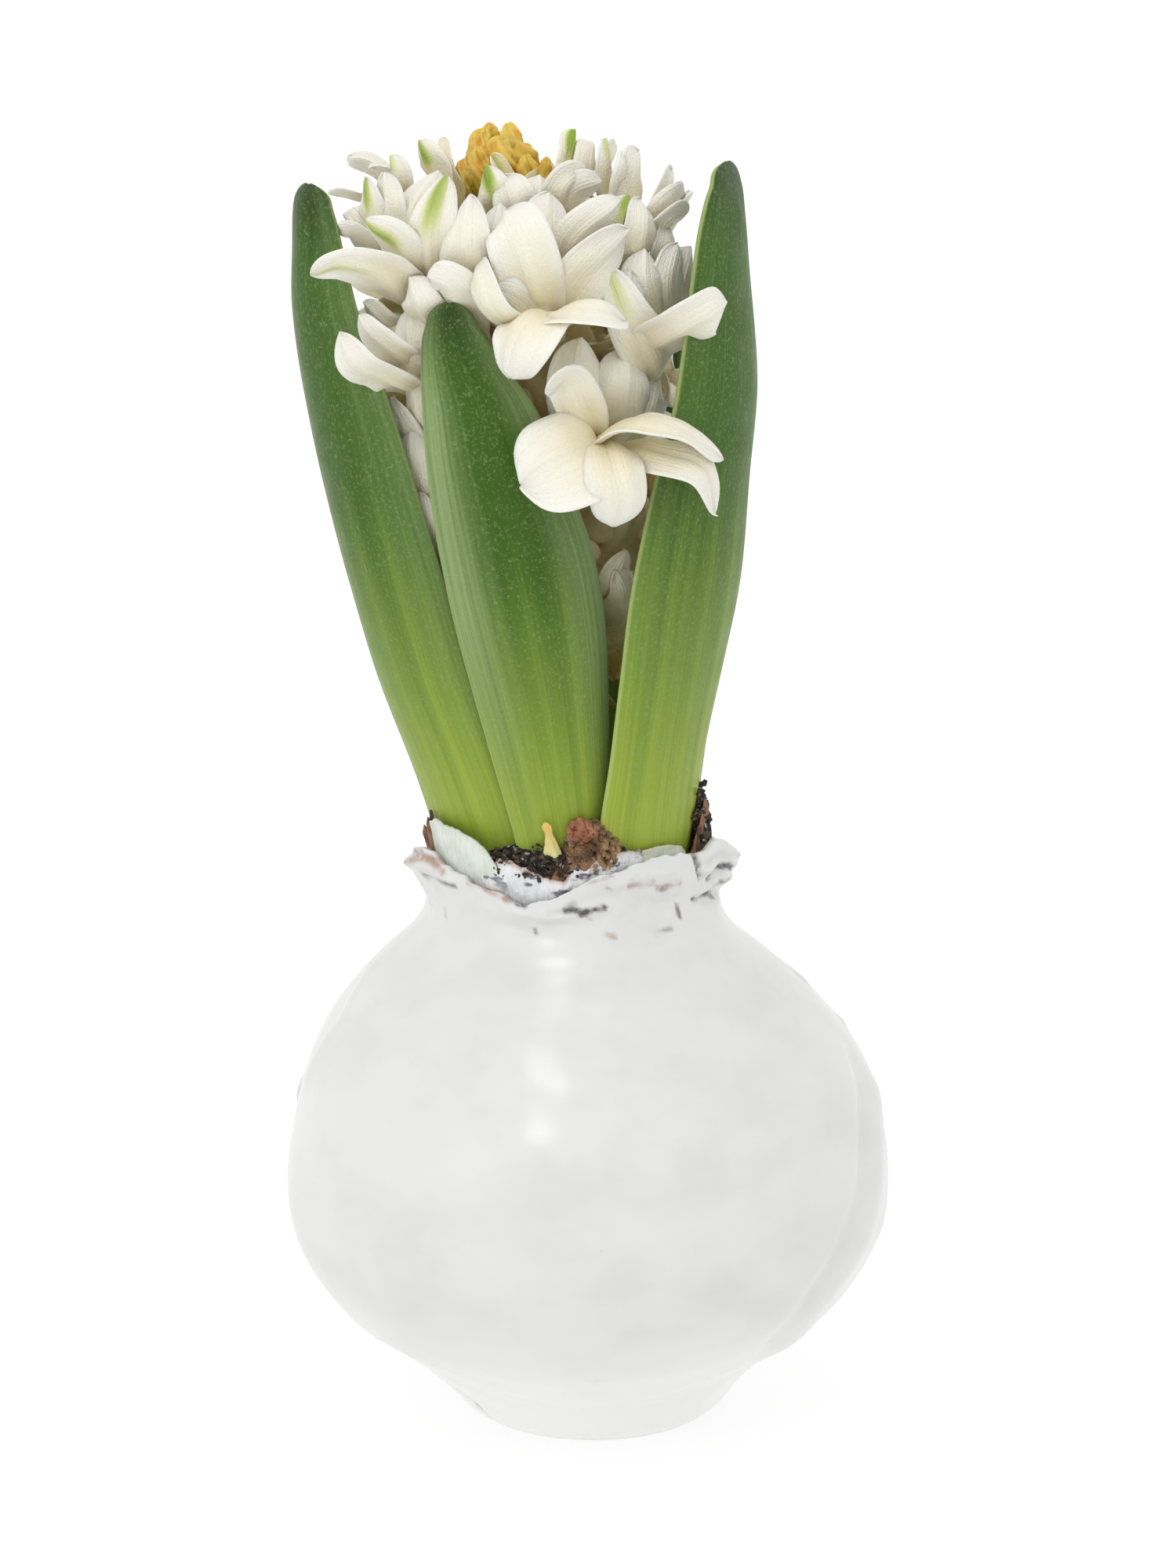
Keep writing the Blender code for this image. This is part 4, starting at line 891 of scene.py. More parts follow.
def leaf(rows, groove, bloom, hold):
    """One leaf as a closed sheet, in millimetres."""
    low, high = rows[0][0], rows[-1][0]

    def spread(v):
        return 1.0 - (1.0 - v) ** 1.7

    def body(v):
        return LEAF_THICK * (1.0 - 0.35 * spread(v) - 0.3 * smoothstep((spread(v) - 0.9) * 10.0))

    def place(u, v):
        share = spread(v)
        height = low + (high - low) * share
        reach, left, right = leaf_edges(rows, height)
        azimuth = left + (right - left) * (u + 1.0) / 2.0
        channel = 1.1 * smoothstep((height - 75.0) / 25.0) * min((right - left) / 40.0, 1.0)
        inward = body(v) / 2.0 + channel * u * u
        inward += LEAF_WRAP * u * (1.0 - 0.4 * share) * min((right - left) / 18.0, 1.0)
        pinch = smoothstep((share - 0.88) / 0.06) * smoothstep((0.995 - share) / 0.03)
        inward += groove[1] * bell((u - groove[0]) / 0.28) * pinch
        inward += 0.16 * rough(around(height, azimuth, reach), 12.0, groove[0])
        spot = around(height, azimuth, reach - inward)
        spot.x += hold * inward * math.sin(math.radians(azimuth))
        return spot

    def thickness(u, v):
        return (LEAF_EDGE + (body(v) - LEAF_EDGE) * (1.0 - u * u)) * (1.0 - 0.45 * abs(u) ** 12)

    def margin(u, v):
        return max(smoothstep((-u - 0.93) / 0.07), 0.6 * smoothstep((u - 0.95) / 0.05))

    return sheet(30, 60, place, thickness, {"margin": margin, "bloom": lambda u, v: bloom})


def make_leaves():
    """All leaves, with one surface of them for the petals to keep clear of."""
    every = bmesh.new()
    material = leaf_material()
    for name, rows in LEAF_ROWS.items():
        groove = TIP_GROOVES.get(name, (0.0, 0.0))
        bm = leaf(rows, groove, LEAF_BLOOM[name], SIDE_HOLD.get(name, 0.0))
        scrap = bpy.data.meshes.new("scrap")
        bm.to_mesh(scrap)
        every.from_mesh(scrap)
        bpy.data.meshes.remove(scrap)
        piece = add_piece(name, bm, material, "leaf", name)
        soften(piece)
    return BVHTree.FromBMesh(every)


LEAF_SURFACE = make_leaves()


# The flower stem: one thick juicy green stem, grown up the middle from the bulb to the flower
# head. The leaves and the lower florets stand close round it and hide nearly all of it.
STEM_RADIUS = 5.2
STEM_LOW = 57.3
STEM_TOP = 83.0


def juicy_material(name, low_colour, high_colour, low, high):
    """Fresh green tissue whose colour changes between two heights."""
    material, tree, shader = plain_material(name, low_colour, 0.42)
    coordinates = add_node(tree, "ShaderNodeTexCoord")
    place = coordinates.outputs["Object"]
    height = add_node(tree, "ShaderNodeSeparateXYZ", {0: place}).outputs[2]
    colour = tint(tree, span(tree, height, low * MM, high * MM), low_colour, high_colour)
    lines = grain(tree, place, 900.0, stretch=(1.0, 1.0, 0.12))
    colour = tint(tree, span(tree, lines, 0.4, 0.7, 0.0, 0.35), colour, high_colour)
    tree.links.new(colour, shader.inputs["Base Color"])
    emboss(tree, shader, lines, 0.0002, 0.5)
    shader.inputs["Subsurface Weight"].default_value = 0.15
    shader.inputs["Subsurface Scale"].default_value = 0.001
    return material


def column(low, high, segments, rows):
    """A closed upright column of radius 1, cut into rows to be shaped."""
    bm = bmesh.new()
    bmesh.ops.create_cone(bm, cap_ends=True, segments=segments, radius1=1.0, radius2=1.0, depth=high - low)
    bmesh.ops.translate(bm, vec=(0, 0, (high + low) / 2.0), verts=bm.verts)
    for row in range(1, rows):
        whole = bm.verts[:] + bm.edges[:] + bm.faces[:]
        level = low + (high - low) * row / rows
        bmesh.ops.bisect_plane(bm, geom=whole, plane_co=(0, 0, level), plane_no=(0, 0, 1))
    return bm


def make_stem():
    bm = column(STEM_LOW, STEM_TOP, 40, 26)
    for vert in bm.verts:
        angle = math.atan2(vert.co.y, vert.co.x)
        radius = STEM_RADIUS * (1.0 - 0.15 * smoothstep((vert.co.z - STEM_LOW) / 25.0))
        radius += 0.12 * math.sin(9.0 * angle) + 0.1 * rough(vert.co, 3.0)
        vert.co = Vector((vert.co.x * radius + middle_x(vert.co.z), vert.co.y * radius, vert.co.z))
    green = juicy_material("flower_stem", (0.38, 0.50, 0.12), (0.26, 0.46, 0.04), 62.0, 80.0)
    add_piece("flower_stem", bm, green, "stem", "flower_stem")


make_stem()


# The flower head: a few dozen florets packed round the stem, each a fleshy tube that opens into
# six waxy petals. The open ones curl their petals back, the upper ones still stand closed with
# green tips, and deep between them the petals are painted tan as painted shade.
PETAL_THICK = 0.46
CLAW_DEPTH = 7.0         # a petal's claw starts this far from the middle line
CLAW_DROP = 4.0
BUD_FOOT = 135.0
BUD_ROOM = 5.2           # petals stay this far from the middle line beside the withered buds
TURN = 137.508
FLORETS = 30
FLORET_LOW = 88.0
FLORET_HIGH = 136.0
HEAD_CORE = ((83.4, 4.6), (88, 6.6), (97, 8.6), (110, 9.6), (122, 9.6), (130, 7.8), (134.4, 4.0))
HEAD_REACH = ((84, 12.0), (94, 16.5), (106, 19.0), (118, 20.5), (127, 20.0), (133, 17.5), (137, 13.5))
FLORET_SPREAD = 8.5
ROUNDED_TURN = 110.0     # florets within this turn of the front are rounded off
# The petals of the front: (width, cup, roll, green, tip, points from the throat to the tip).
# A positive cup bulges towards the viewer on an upright petal. The tip is 0 pointed to 1 blunt.
FRONT_PETALS = {
    "top_left_tips": (
        (5.0, 0.15, 0, 0.0, 0.8, ((-20.5, -3.0, 137.5), (-22.5, -4.0, 140.5), (-25.5, -3.0, 141.5))),
        (4.5, 0.2, 0, 0.0, 0.8, ((-19.0, -6.0, 137.5), (-21.0, -8.0, 140.5), (-23.0, -8.0, 141.5))),
        (4.5, 0.25, 0, 0.9, 0.5, ((-15.0, -6.0, 137.5), (-16.5, -8.0, 142.0), (-17.5, -7.0, 144.0))),
        (4.5, 0.25, 0, 0.0, 0.6, ((-14.5, -5.0, 137.5), (-15.5, -6.0, 142.0), (-15.5, -4.0, 144.0))),
        (3.5, 0.3, 0, 0.5, 0.5, ((-19.0, -9.0, 138.0), (-20.0, -10.0, 141.0), (-20.5, -9.0, 142.5))),
        (3.5, 0.2, 0, 0.5, 0.5, ((-23.0, 0.0, 137.0), (-25.5, 0.0, 138.0), (-28.0, 1.0, 138.0))),
        (5.0, 0.15, 0, 0.0, 0.8, ((-20.0, 2.0, 136.0), (-23.0, 3.0, 140.5), (-26.0, 3.0, 141.5))),
    ),
    "left_tips": (
        (4.5, 0.25, 0, 0.8, 0.5, ((-21.5, -10.0, 133.0), (-22.5, -13.0, 137.5), (-23.0, -12.0, 140.5))),
        (4.5, 0.25, 0, 0.0, 0.7, ((-19.5, -11.0, 131.5), (-20.5, -14.0, 137.0), (-21.0, -13.0, 141.0))),
        (5.0, 0.2, 0, 0.0, 0.9, ((-22.5, -9.0, 132.0), (-24.5, -12.0, 134.5), (-26.5, -12.0, 135.0))),
        (4.5, 0.2, 0, 0.0, 0.7, ((-23.0, -9.0, 131.5), (-24.5, -11.0, 135.5), (-25.5, -10.0, 136.5))),
        (6.0, 0.25, 0, 0.7, 0.4, ((-17.0, -13.0, 128.5), (-19.5, -18.0, 134.0), (-23.0, -19.0, 136.5))),
    ),
    "keeled_petals": (
        (6.0, 0.35, 0, 0.7, 0.5, ((-15.5, -13.0, 128.5), (-16.0, -19.0, 135.5), (-14.5, -17.0, 141.0))),
        (5.0, 0.3, 0, 0.0, 0.7, ((-17.0, -11.0, 131.5), (-18.0, -15.0, 137.0), (-15.5, -12.0, 141.0))),
        (6.5, 0.35, 0, 0.0, 0.6, ((-12.0, -14.0, 127.0), (-12.5, -20.0, 134.0), (-12.0, -18.0, 139.0))),
        (6.0, 0.3, 0, 0.0, 0.9, ((-12.0, -15.0, 124.5), (-14.0, -21.0, 130.0), (-16.5, -21.0, 131.0))),
        (5.5, 0.25, 0, 0.0, 0.8, ((-15.0, -14.0, 124.0), (-17.5, -19.0, 128.0), (-18.5, -18.0, 130.5))),
    ),
    "curled_petals": (
        (6.5, 0.06, 40, 0.35, 0.35, ((-17.0, -12.0, 126.5), (-21.8, -18.5, 131.2), (-25.8, -20.0, 132.0),
                                     (-28.8, -19.0, 130.9))),
        (5.5, 0.05, 20, 0.0, 0.9, ((-17.0, -13.0, 117.5), (-20.5, -18.5, 119.8), (-24.0, -22.0, 122.0),
                                   (-25.5, -21.5, 125.2))),
        (4.5, 0.1, 20, 0.0, 0.7, ((-17.0, -12.0, 120.0), (-19.5, -18.0, 122.5), (-22.0, -20.0, 124.5),
                                  (-23.5, -19.5, 126.8))),
        (7.0, 0.12, -40, 0.1, 1.0, ((5.0, -13.0, 121.5), (8.8, -19.5, 124.8), (12.4, -22.0, 127.0),
                                    (14.4, -20.0, 128.2))),
        (4.5, 0.15, 10, 0.0, 0.8, ((6.0, -12.0, 121.5), (9.0, -17.0, 124.0), (12.0, -18.0, 126.0))),
    ),
    "middle_petals": (
        (4.5, 0.2, 0, 1.0, 0.5, ((-9.0, -10.0, 135.0), (-9.5, -13.0, 138.5), (-10.5, -11.0, 141.5))),
        (5.0, 0.2, 0, 0.0, 0.8, ((-7.0, -11.0, 134.5), (-7.5, -14.0, 138.0), (-8.5, -12.0, 140.5))),
        (7.2, 0.08, 0, 0.0, 1.0, ((-5.0, -16.0, 124.5), (-5.8, -22.0, 131.0), (-7.6, -22.0, 136.0),
                                  (-8.5, -18.5, 137.4))),
        (5.0, 0.2, 0, 0.2, 0.9, ((-6.5, -18.0, 125.0), (-9.5, -23.0, 127.5), (-11.0, -22.5, 130.5),
                                 (-11.0, -19.5, 132.0))),
        (6.0, 0.2, 0, 0.0, 0.8, ((-5.5, -18.0, 125.0), (-8.0, -21.0, 128.5), (-10.0, -22.0, 129.5))),
        (5.0, 0.2, 0, 0.0, 0.7, ((-8.5, -14.0, 129.0), (-9.5, -18.0, 134.0), (-9.0, -16.0, 138.0))),
    ),
    "fan_petals": (
        (7.0, -0.12, 0, 0.0, 0.8, ((-4.0, -16.0, 125.5), (0.5, -20.0, 131.5), (4.5, -18.0, 135.5))),
        (6.0, 0.25, 0, 0.0, 0.8, ((-4.0, -14.0, 128.0), (-4.5, -18.0, 134.0), (-4.0, -15.0, 139.0))),
        (5.0, 0.2, 0, 0.0, 0.8, ((-4.0, -14.0, 128.0), (-1.5, -18.0, 134.5), (3.5, -16.0, 138.5))),
        (4.5, 0.25, 0, 0.1, 0.7, ((-2.5, -10.0, 135.0), (-1.5, -12.0, 139.0), (1.5, -10.0, 140.0))),
        (5.0, 0.25, 0, 0.0, 0.7, ((-3.5, -10.0, 135.5), (-2.5, -13.0, 139.5), (0.0, -10.0, 141.0))),
        (4.5, 0.2, 0, 0.0, 0.9, ((-7.0, -10.0, 134.0), (-7.0, -13.0, 138.0), (-7.0, -11.0, 140.0))),
        (4.5, 0.2, 0, 0.0, 0.8, ((-5.0, -10.0, 134.0), (-5.0, -13.0, 138.0), (-5.0, -11.0, 140.5))),
    ),
    "top_right_tips": (
        (4.0, 0.3, 0, 0.9, 0.4, ((-2.0, -5.0, 137.5), (-2.0, -6.0, 142.0), (-1.5, -5.0, 145.0))),
        (5.0, 0.25, 0, 0.0, 0.7, ((-0.5, -4.0, 137.5), (0.0, -5.0, 141.5), (0.5, -3.0, 143.5))),
        (3.0, 0.25, 0, 0.4, 0.4, ((2.0, -4.0, 137.0), (2.0, -5.0, 141.0), (2.0, -4.0, 144.0))),
        (6.0, 0.25, 0, 0.0, 0.8, ((4.0, -5.0, 135.0), (5.0, -6.0, 140.0), (5.5, -3.0, 142.5))),
        (5.0, 0.25, 0, 0.3, 0.7, ((2.0, -5.0, 135.0), (4.0, -7.0, 140.0), (4.0, -5.0, 142.5))),
        (5.5, 0.2, 0, 0.0, 0.8, ((1.0, -1.0, 136.0), (2.0, 0.0, 141.0), (3.0, 2.0, 143.0))),
    ),
    "right_tips": (
        (5.0, 0.15, 0, 0.0, 0.9, ((6.5, -7.0, 134.5), (8.5, -9.0, 137.5), (10.5, -7.0, 138.5))),
        (5.0, 0.2, 0, 0.0, 0.8, ((7.0, -8.0, 133.5), (8.5, -11.0, 136.0), (10.5, -9.0, 137.0))),
        (4.5, 0.25, 0, 0.8, 0.5, ((3.0, -11.0, 132.5), (3.5, -14.0, 136.0), (4.5, -12.0, 138.5))),
        (5.0, 0.25, 0, 0.0, 0.8, ((4.5, -11.0, 131.0), (6.0, -14.0, 135.0), (5.5, -11.0, 138.0))),
        (5.5, 0.2, 0, 0.0, 0.8, ((6.5, -3.0, 134.5), (8.5, -4.0, 138.5), (9.0, -2.0, 140.5))),
        (5.0, 0.2, 0, 0.0, 0.7, ((8.0, -1.0, 133.0), (10.0, -2.0, 136.5), (11.5, -1.0, 138.0))),
    ),
    "right_petals": (
        (5.0, 0.3, 0, 0.0, 0.8, ((6.5, -12.0, 124.0), (6.0, -16.0, 130.0), (6.0, -14.0, 133.0))),
        (5.0, 0.3, 0, 0.0, 0.7, ((8.0, -10.0, 124.5), (8.5, -14.0, 130.0), (9.5, -12.0, 133.5))),
        (4.5, 0.3, 0, 0.0, 0.7, ((9.0, -8.0, 125.0), (10.0, -12.0, 129.5), (11.0, -10.0, 133.0))),
        (4.5, 0.3, 0, 0.0, 0.7, ((7.5, -9.0, 130.0), (8.5, -11.0, 133.5), (8.5, -9.0, 135.0))),
        (6.0, 0.15, 0, 0.4, 0.5, ((7.0, -14.0, 119.5), (4.5, -19.0, 126.5), (2.5, -18.0, 131.5))),
        (5.0, 0.2, 0, 0.0, 0.8, ((5.0, -13.0, 122.0), (4.0, -17.0, 127.5), (4.5, -16.0, 131.0))),
    ),
    "hanging_floret": (
        (6.0, -0.12, 55, 0.0, 0.9, ((-5.0, -20.0, 125.6), (-2.0, -24.5, 127.6), (1.4, -25.5, 127.6),
                                    (4.2, -23.5, 126.4))),
        (8.8, -0.18, 0, 0.0, 0.7, ((-4.0, -20.0, 126.8), (-5.6, -24.5, 126.4), (-7.2, -26.0, 123.8),
                                   (-7.9, -25.2, 120.6))),
    ),
    "wide_floret": (
        (10.8, -0.1, -80, 0.0, 0.9, ((1.8, -21.0, 113.0), (-1.2, -25.2, 112.6), (-4.2, -26.6, 111.4),
                                     (-6.9, -25.8, 109.6))),
        (6.8, -0.25, 0, 0.0, 1.0, ((1.8, -21.5, 113.2), (2.8, -26.4, 111.6), (3.6, -27.0, 108.4),
                                   (3.0, -25.0, 104.9))),
        (6.2, -0.2, 48, 0.0, 0.6, ((1.2, -20.0, 113.6), (5.2, -24.5, 116.0), (9.8, -25.0, 115.2),
                                   (14.0, -22.5, 111.6))),
        (5.6, -0.15, 42, 0.0, 0.7, ((3.5, -19.5, 112.6), (7.8, -23.5, 112.6), (12.2, -24.5, 111.2),
                                    (13.4, -22.5, 106.0))),
        (5.2, 0.15, 0, 0.2, 0.9, ((0.2, -19.0, 113.5), (-1.0, -23.0, 118.3), (-2.6, -25.4, 121.0),
                                  (-4.3, -26.4, 119.2))),
    ),
    "upright_petals": (
        (7.0, 0.3, 0, 0.0, 0.8, ((0.0, -15.0, 113.0), (-1.0, -19.0, 119.5), (-0.5, -17.0, 124.0))),
        (7.0, 0.3, 0, 0.0, 0.7, ((3.0, -14.0, 113.0), (4.0, -18.0, 119.0), (4.0, -16.0, 123.0))),
        (5.0, 0.3, 0, 0.0, 0.8, ((5.5, -11.0, 113.0), (7.0, -15.0, 117.0), (7.5, -13.0, 119.5))),
    ),
    "low_left_petals": (
        (6.0, 0.25, 0, 0.0, 0.7, ((-16.5, -12.0, 116.5), (-18.0, -17.0, 122.5), (-18.5, -16.0, 127.0))),
        (5.0, 0.25, 0, 0.0, 0.7, ((-18.0, -10.0, 117.0), (-20.0, -13.0, 123.0), (-21.0, -12.0, 126.0))),
        (5.0, 0.2, 0, 0.0, 0.7, ((-19.0, -8.0, 118.5), (-22.0, -11.0, 123.5), (-24.0, -10.0, 125.5))),
        (4.0, 0.1, 30, 0.0, 0.7, ((-17.0, -10.0, 123.5), (-21.0, -13.0, 125.0), (-23.5, -13.0, 127.5))),
        (5.0, 0.25, 0, 0.0, 0.7, ((-17.0, -10.0, 106.5), (-18.5, -14.0, 113.0), (-20.5, -14.0, 117.5))),
        (5.0, 0.25, 0, 0.0, 0.8, ((-16.5, -11.0, 110.0), (-17.5, -15.0, 115.5), (-18.5, -15.0, 120.0))),
        (5.0, 0.2, 0, 0.0, 0.7, ((-16.5, -12.0, 104.0), (-18.2, -15.0, 109.5), (-18.6, -15.5, 114.0))),
        (4.5, 0.2, 0, 0.0, 0.7, ((-15.5, -12.0, 98.5), (-17.0, -15.0, 103.5), (-17.5, -15.5, 107.5))),
        (4.5, 0.25, 0, 0.0, 0.7, ((-16.0, -9.0, 97.5), (-16.5, -14.0, 102.0), (-16.0, -15.0, 104.5))),
    ),
    "low_petals": (
        (5.0, 0.2, 0, 0.0, 0.8, ((2.0, -8.0, 93.0), (3.0, -13.0, 98.0), (4.0, -14.0, 101.0))),
        (4.5, 0.2, 0, 0.0, 0.6, ((3.5, -8.0, 92.0), (4.0, -13.0, 96.5), (3.0, -14.0, 99.0))),
    ),
}


def petal_material():
    material, tree, shader = plain_material("white_petal", (0.84, 0.82, 0.76), 0.42)
    coordinates = add_node(tree, "ShaderNodeTexCoord")
    place, uv = coordinates.outputs["Object"], coordinates.outputs["UV"]
    axes = add_node(tree, "ShaderNodeSeparateXYZ", {0: place})
    lean = figure(tree, "MULTIPLY", figure(tree, "SUBTRACT", axes.outputs[2], NECK_Z * MM), LEAN)
    side = figure(tree, "SUBTRACT", figure(tree, "SUBTRACT", axes.outputs[0], NECK_X * MM), lean)
    flat = add_node(tree, "ShaderNodeCombineXYZ", {0: side, 1: axes.outputs[1]})
    depth = add_node(tree, "ShaderNodeVectorMath", {0: flat.outputs[0]}, operation="LENGTH").outputs["Value"]
    # Painted shade: the nearer a petal lies to the middle line, the more it is painted tan, for the shade
    # deep between the florets. Higher up a petal counts as farther out.
    rise = span(tree, axes.outputs[2], 0.126, 0.142, 0.0, 0.009)
    depth = figure(tree, "ADD", depth, rise)
    # The florets behind reach less far out, so their painted shade fades to white nearer to the stem.
    depth = figure(tree, "ADD", depth, span(tree, axes.outputs[1], -0.002, 0.008, 0.0, 0.0055))

    blade = painted(tree, "blade")
    # Painted shade: tan deep near the middle line, white farther out.
    colour = tint(tree, span(tree, depth, 0.0095, 0.0150), (0.60, 0.45, 0.14), (0.82, 0.71, 0.42))
    colour = tint(tree, span(tree, depth, 0.0125, 0.0225), colour, (0.86, 0.85, 0.785))
    across = add_node(tree, "ShaderNodeSeparateXYZ", {0: uv}).outputs[0]
    edge = figure(tree, "ABSOLUTE", figure(tree, "SUBTRACT", across, 0.5))
    # Painted shade: the claw and the middle of each petal are painted cream for the warm shade in its
    # creases, less towards its edges.
    painted_crease_shade = figure(tree, "MULTIPLY", span(tree, blade, 0.35, 1.0, 0.95, 0.12),
                   span(tree, edge, 0.2, 0.5, 1.0, 0.35))
    colour = tint(tree, painted_crease_shade, colour, (0.79, 0.69, 0.43))
    veins = use_group(tree, FIBRES, Vector=uv, Across=22.0, Along=1.5)
    colour = tint(tree, span(tree, veins, 0.35, 0.7, 0.0, 0.22), colour, (0.76, 0.71, 0.56))
    green = painted(tree, "green")
    colour = tint(tree, span(tree, green, 0.05, 0.5, 0.0, 0.85), colour, (0.50, 0.56, 0.13))
    colour = tint(tree, span(tree, green, 0.3, 0.85, 0.0, 0.95), colour, (0.22, 0.36, 0.02))
    tree.links.new(colour, shader.inputs["Base Color"])

    cells = add_node(tree, "ShaderNodeTexVoronoi", {"Vector": place, "Scale": 5200.0}).outputs["Distance"]
    height = figure(tree, "ADD", veins, figure(tree, "MULTIPLY", cells, 0.35))
    emboss(tree, shader, height, 0.0003, 0.7)
    let_light_in(shader, 0.2, (1.0, 0.85, 0.6), 0.0014)
    return material


def clear_of_leaves(point):
    """Pull a point in from a leaf's inner face, or push it out from the outer one or the buds."""
    origin = Vector((middle_x(point.z), 0.0, point.z))
    ray = Vector((point.x - origin.x, point.y, 0.0))
    reach = ray.length
    if reach < 1.0:
        return point
    ray /= reach
    if point.z > BUD_FOOT - 0.5 and reach < BUD_ROOM:
        return origin + ray * BUD_ROOM
    far = 60.0
    inner, _, _, inside = LEAF_SURFACE.ray_cast(origin, ray, far)
    if inner is None:
        return point
    outside = far - LEAF_SURFACE.ray_cast(origin + ray * far, -ray, far)[3]
    room = PETAL_THICK / 2.0 + 0.15
    if reach < inside - room or reach > outside + room:
        return point
    if reach < (inside + outside) / 2.0:
        return origin + ray * (inside - room)
    return origin + ray * (outside + room)


def petal_outline(v, blunt):
    """Half-width of a petal as a share of its widest: a narrow claw, a broad blade, a closed tip."""
    claw = 0.42 + 0.58 * smoothstep((v - 0.15) / 0.45)
    tip = max((v - 0.68) / 0.32, 0.0)
    sharp = (1.0 - tip) ** 0.75
    round_end = math.sqrt(max(1.0 - tip ** (2.0 + 1.6 * blunt), 0.0))
    return claw * (sharp * (1.0 - blunt) + round_end * blunt)


def petal(points, facing, width, cup, roll, green, blunt, columns, rows, seed):
    """One petal along a smooth line; its inner face starts towards facing, its blade at points[1]."""
    rng = random.Random(seed)
    ripple, phase = rng.uniform(0.5, 1.0), rng.uniform(0.0, math.tau)
    curl, flare = rng.uniform(-0.4, 0.5), rng.uniform(-0.1, 0.5)
    lengths = [math.dist(start, end) for start, end in zip(points, points[1:])]
    throat = lengths[0] / sum(lengths)
    steps = 40
    path = [along_line(points, i / steps) for i in range(steps + 1)]
    frames = []
    ahead = None
    for i in range(steps + 1):
        along = (path[min(i + 1, steps)] - path[max(i - 1, 0)]).normalized()
        if ahead is not None:
            facing = ahead.rotation_difference(along) @ facing
        facing = (facing - along * facing.dot(along)).normalized()
        ahead = along
        face = Matrix.Rotation(math.radians(roll) * i / steps, 3, along) @ facing
        frames.append((along.cross(face), face))

    def blade(v):
        """How far along its visible form a place is: the claw ends at 0.35."""
        share = 1.0 - (1.0 - v) ** 1.35
        if share < throat:
            return 0.35 * share / throat
        return 0.35 + 0.65 * (share - throat) / (1.0 - throat)

    def place(u, v):
        share = 1.0 - (1.0 - v) ** 1.35
        at = min(share * steps, steps - 0.001)
        i = int(at)
        middle = path[i].lerp(path[i + 1], at - i)
        across = frames[i][0].lerp(frames[i + 1][0], at - i)
        face = frames[i][1].lerp(frames[i + 1][1], at - i)
        past_root = smoothstep(share * 2.0)
        half = width / 2.0 * petal_outline(blade(v), blunt)
        half *= 1.0 + 0.16 * rough((share * 3.0, u, phase), 1.0, phase) * past_root
        wave = 0.12 * width * ripple * math.sin(6.5 * share + phase + 1.4 * u) * u * u * past_root
        wave += 0.45 * rough(middle + across * half * u, 2.6, phase) * past_root
        lift = 0.7 * cup * half * 2.0 * (u * u - 0.4) + wave
        before_tip = smoothstep((1.0 - share) * 3.0)
        lift += 0.024 * width * math.sin(6.5 * u + phase) * past_root * before_tip
        lift -= 0.26 * bell(u / 0.14) * smoothstep(share * 3.0)
        lift -= flare * math.copysign(1.0, cup) * smoothstep((abs(u) - 0.6) / 0.4) * half / 3.0
        lift += curl * smoothstep((share - 0.8) / 0.2) * abs(u)
        point = middle + across * half * u * (1.0 - 0.12 * abs(cup)) + face * lift
        return clear_of_leaves(point)

    def thickness(u, v):
        return PETAL_THICK * (1.0 - 0.5 * abs(u) ** 3) * (1.0 - 0.3 * smoothstep((v - 0.8) * 5.0))

    def greenness(u, v):
        return green * smoothstep((blade(v) - 0.6) / 0.3) * bell((u - 0.15) / 0.45)

    return sheet(columns, rows, place, thickness, {"green": greenness, "blade": lambda u, v: blade(v)})


def make_front_petals(material):
    number = 0
    for name, petals in FRONT_PETALS.items():
        bm = bmesh.new()
        for width, cup, roll, green, blunt, places in petals:
            number += 1
            points = [Vector(place) for place in places]
            throat = points[0]
            offset = Vector((throat.x - middle_x(throat.z), throat.y, 0.0))
            root = Vector((middle_x(throat.z), 0.0, throat.z - CLAW_DROP))
            root += offset.normalized() * CLAW_DEPTH
            up = Vector((0.0, 0.0, 1.0))
            merge(bm, petal([root] + points, up, width, cup, roll, green, blunt, 12, 18, number))
        soften(add_piece(name, bm, material, "petal"))


def floret(bm, throat, axis, spread_out, size, green, rng):
    """A flaring tube, and six petals that open from its mouth and curl back."""
    aside = axis.orthogonal().normalized()
    start = rng.uniform(0.0, math.tau)
    tube = 8.0 * size
    made = bmesh.ops.create_cone(bm, cap_ends=True, segments=12, radius1=1.5, radius2=2.3, depth=tube)
    turn = axis.to_track_quat("Z", "Y").to_matrix().to_4x4()
    place = Matrix.Translation(throat - axis * tube * 0.42) @ turn
    bmesh.ops.transform(bm, matrix=place, verts=made["verts"])
    for k in range(6):
        spoke = Matrix.Rotation(start + k * math.tau / 6.0, 3, axis) @ aside
        opening = rng.uniform(0.85, 1.15) * spread_out
        length = rng.uniform(10.5, 12.5) * size
        path = [throat - axis * 3.5 + spoke * 1.7]
        for bend, step in ((0.25, 0.34), (0.6, 0.36), (1.0, 0.2), (1.45, 0.16)):
            heading = axis * math.cos(opening * bend) + spoke * math.sin(opening * bend)
            path.append(path[-1] + heading * length * step)
        width = rng.uniform(5.0, 6.2) * size * (1.0 if k % 2 else 0.88)
        merge(bm, petal(path, -spoke, width, rng.uniform(0.1, 0.35), rng.uniform(-15, 15),
                        green * rng.uniform(0.3, 1.0), rng.uniform(0.4, 0.9), 7, 12, rng.random()))


def behind_front(azimuth, height):
    """The listed front petals already cover this part of the head."""
    return 100.0 < height < 134.5 and -66.0 < turn_between(azimuth, 0.0) < 62.0


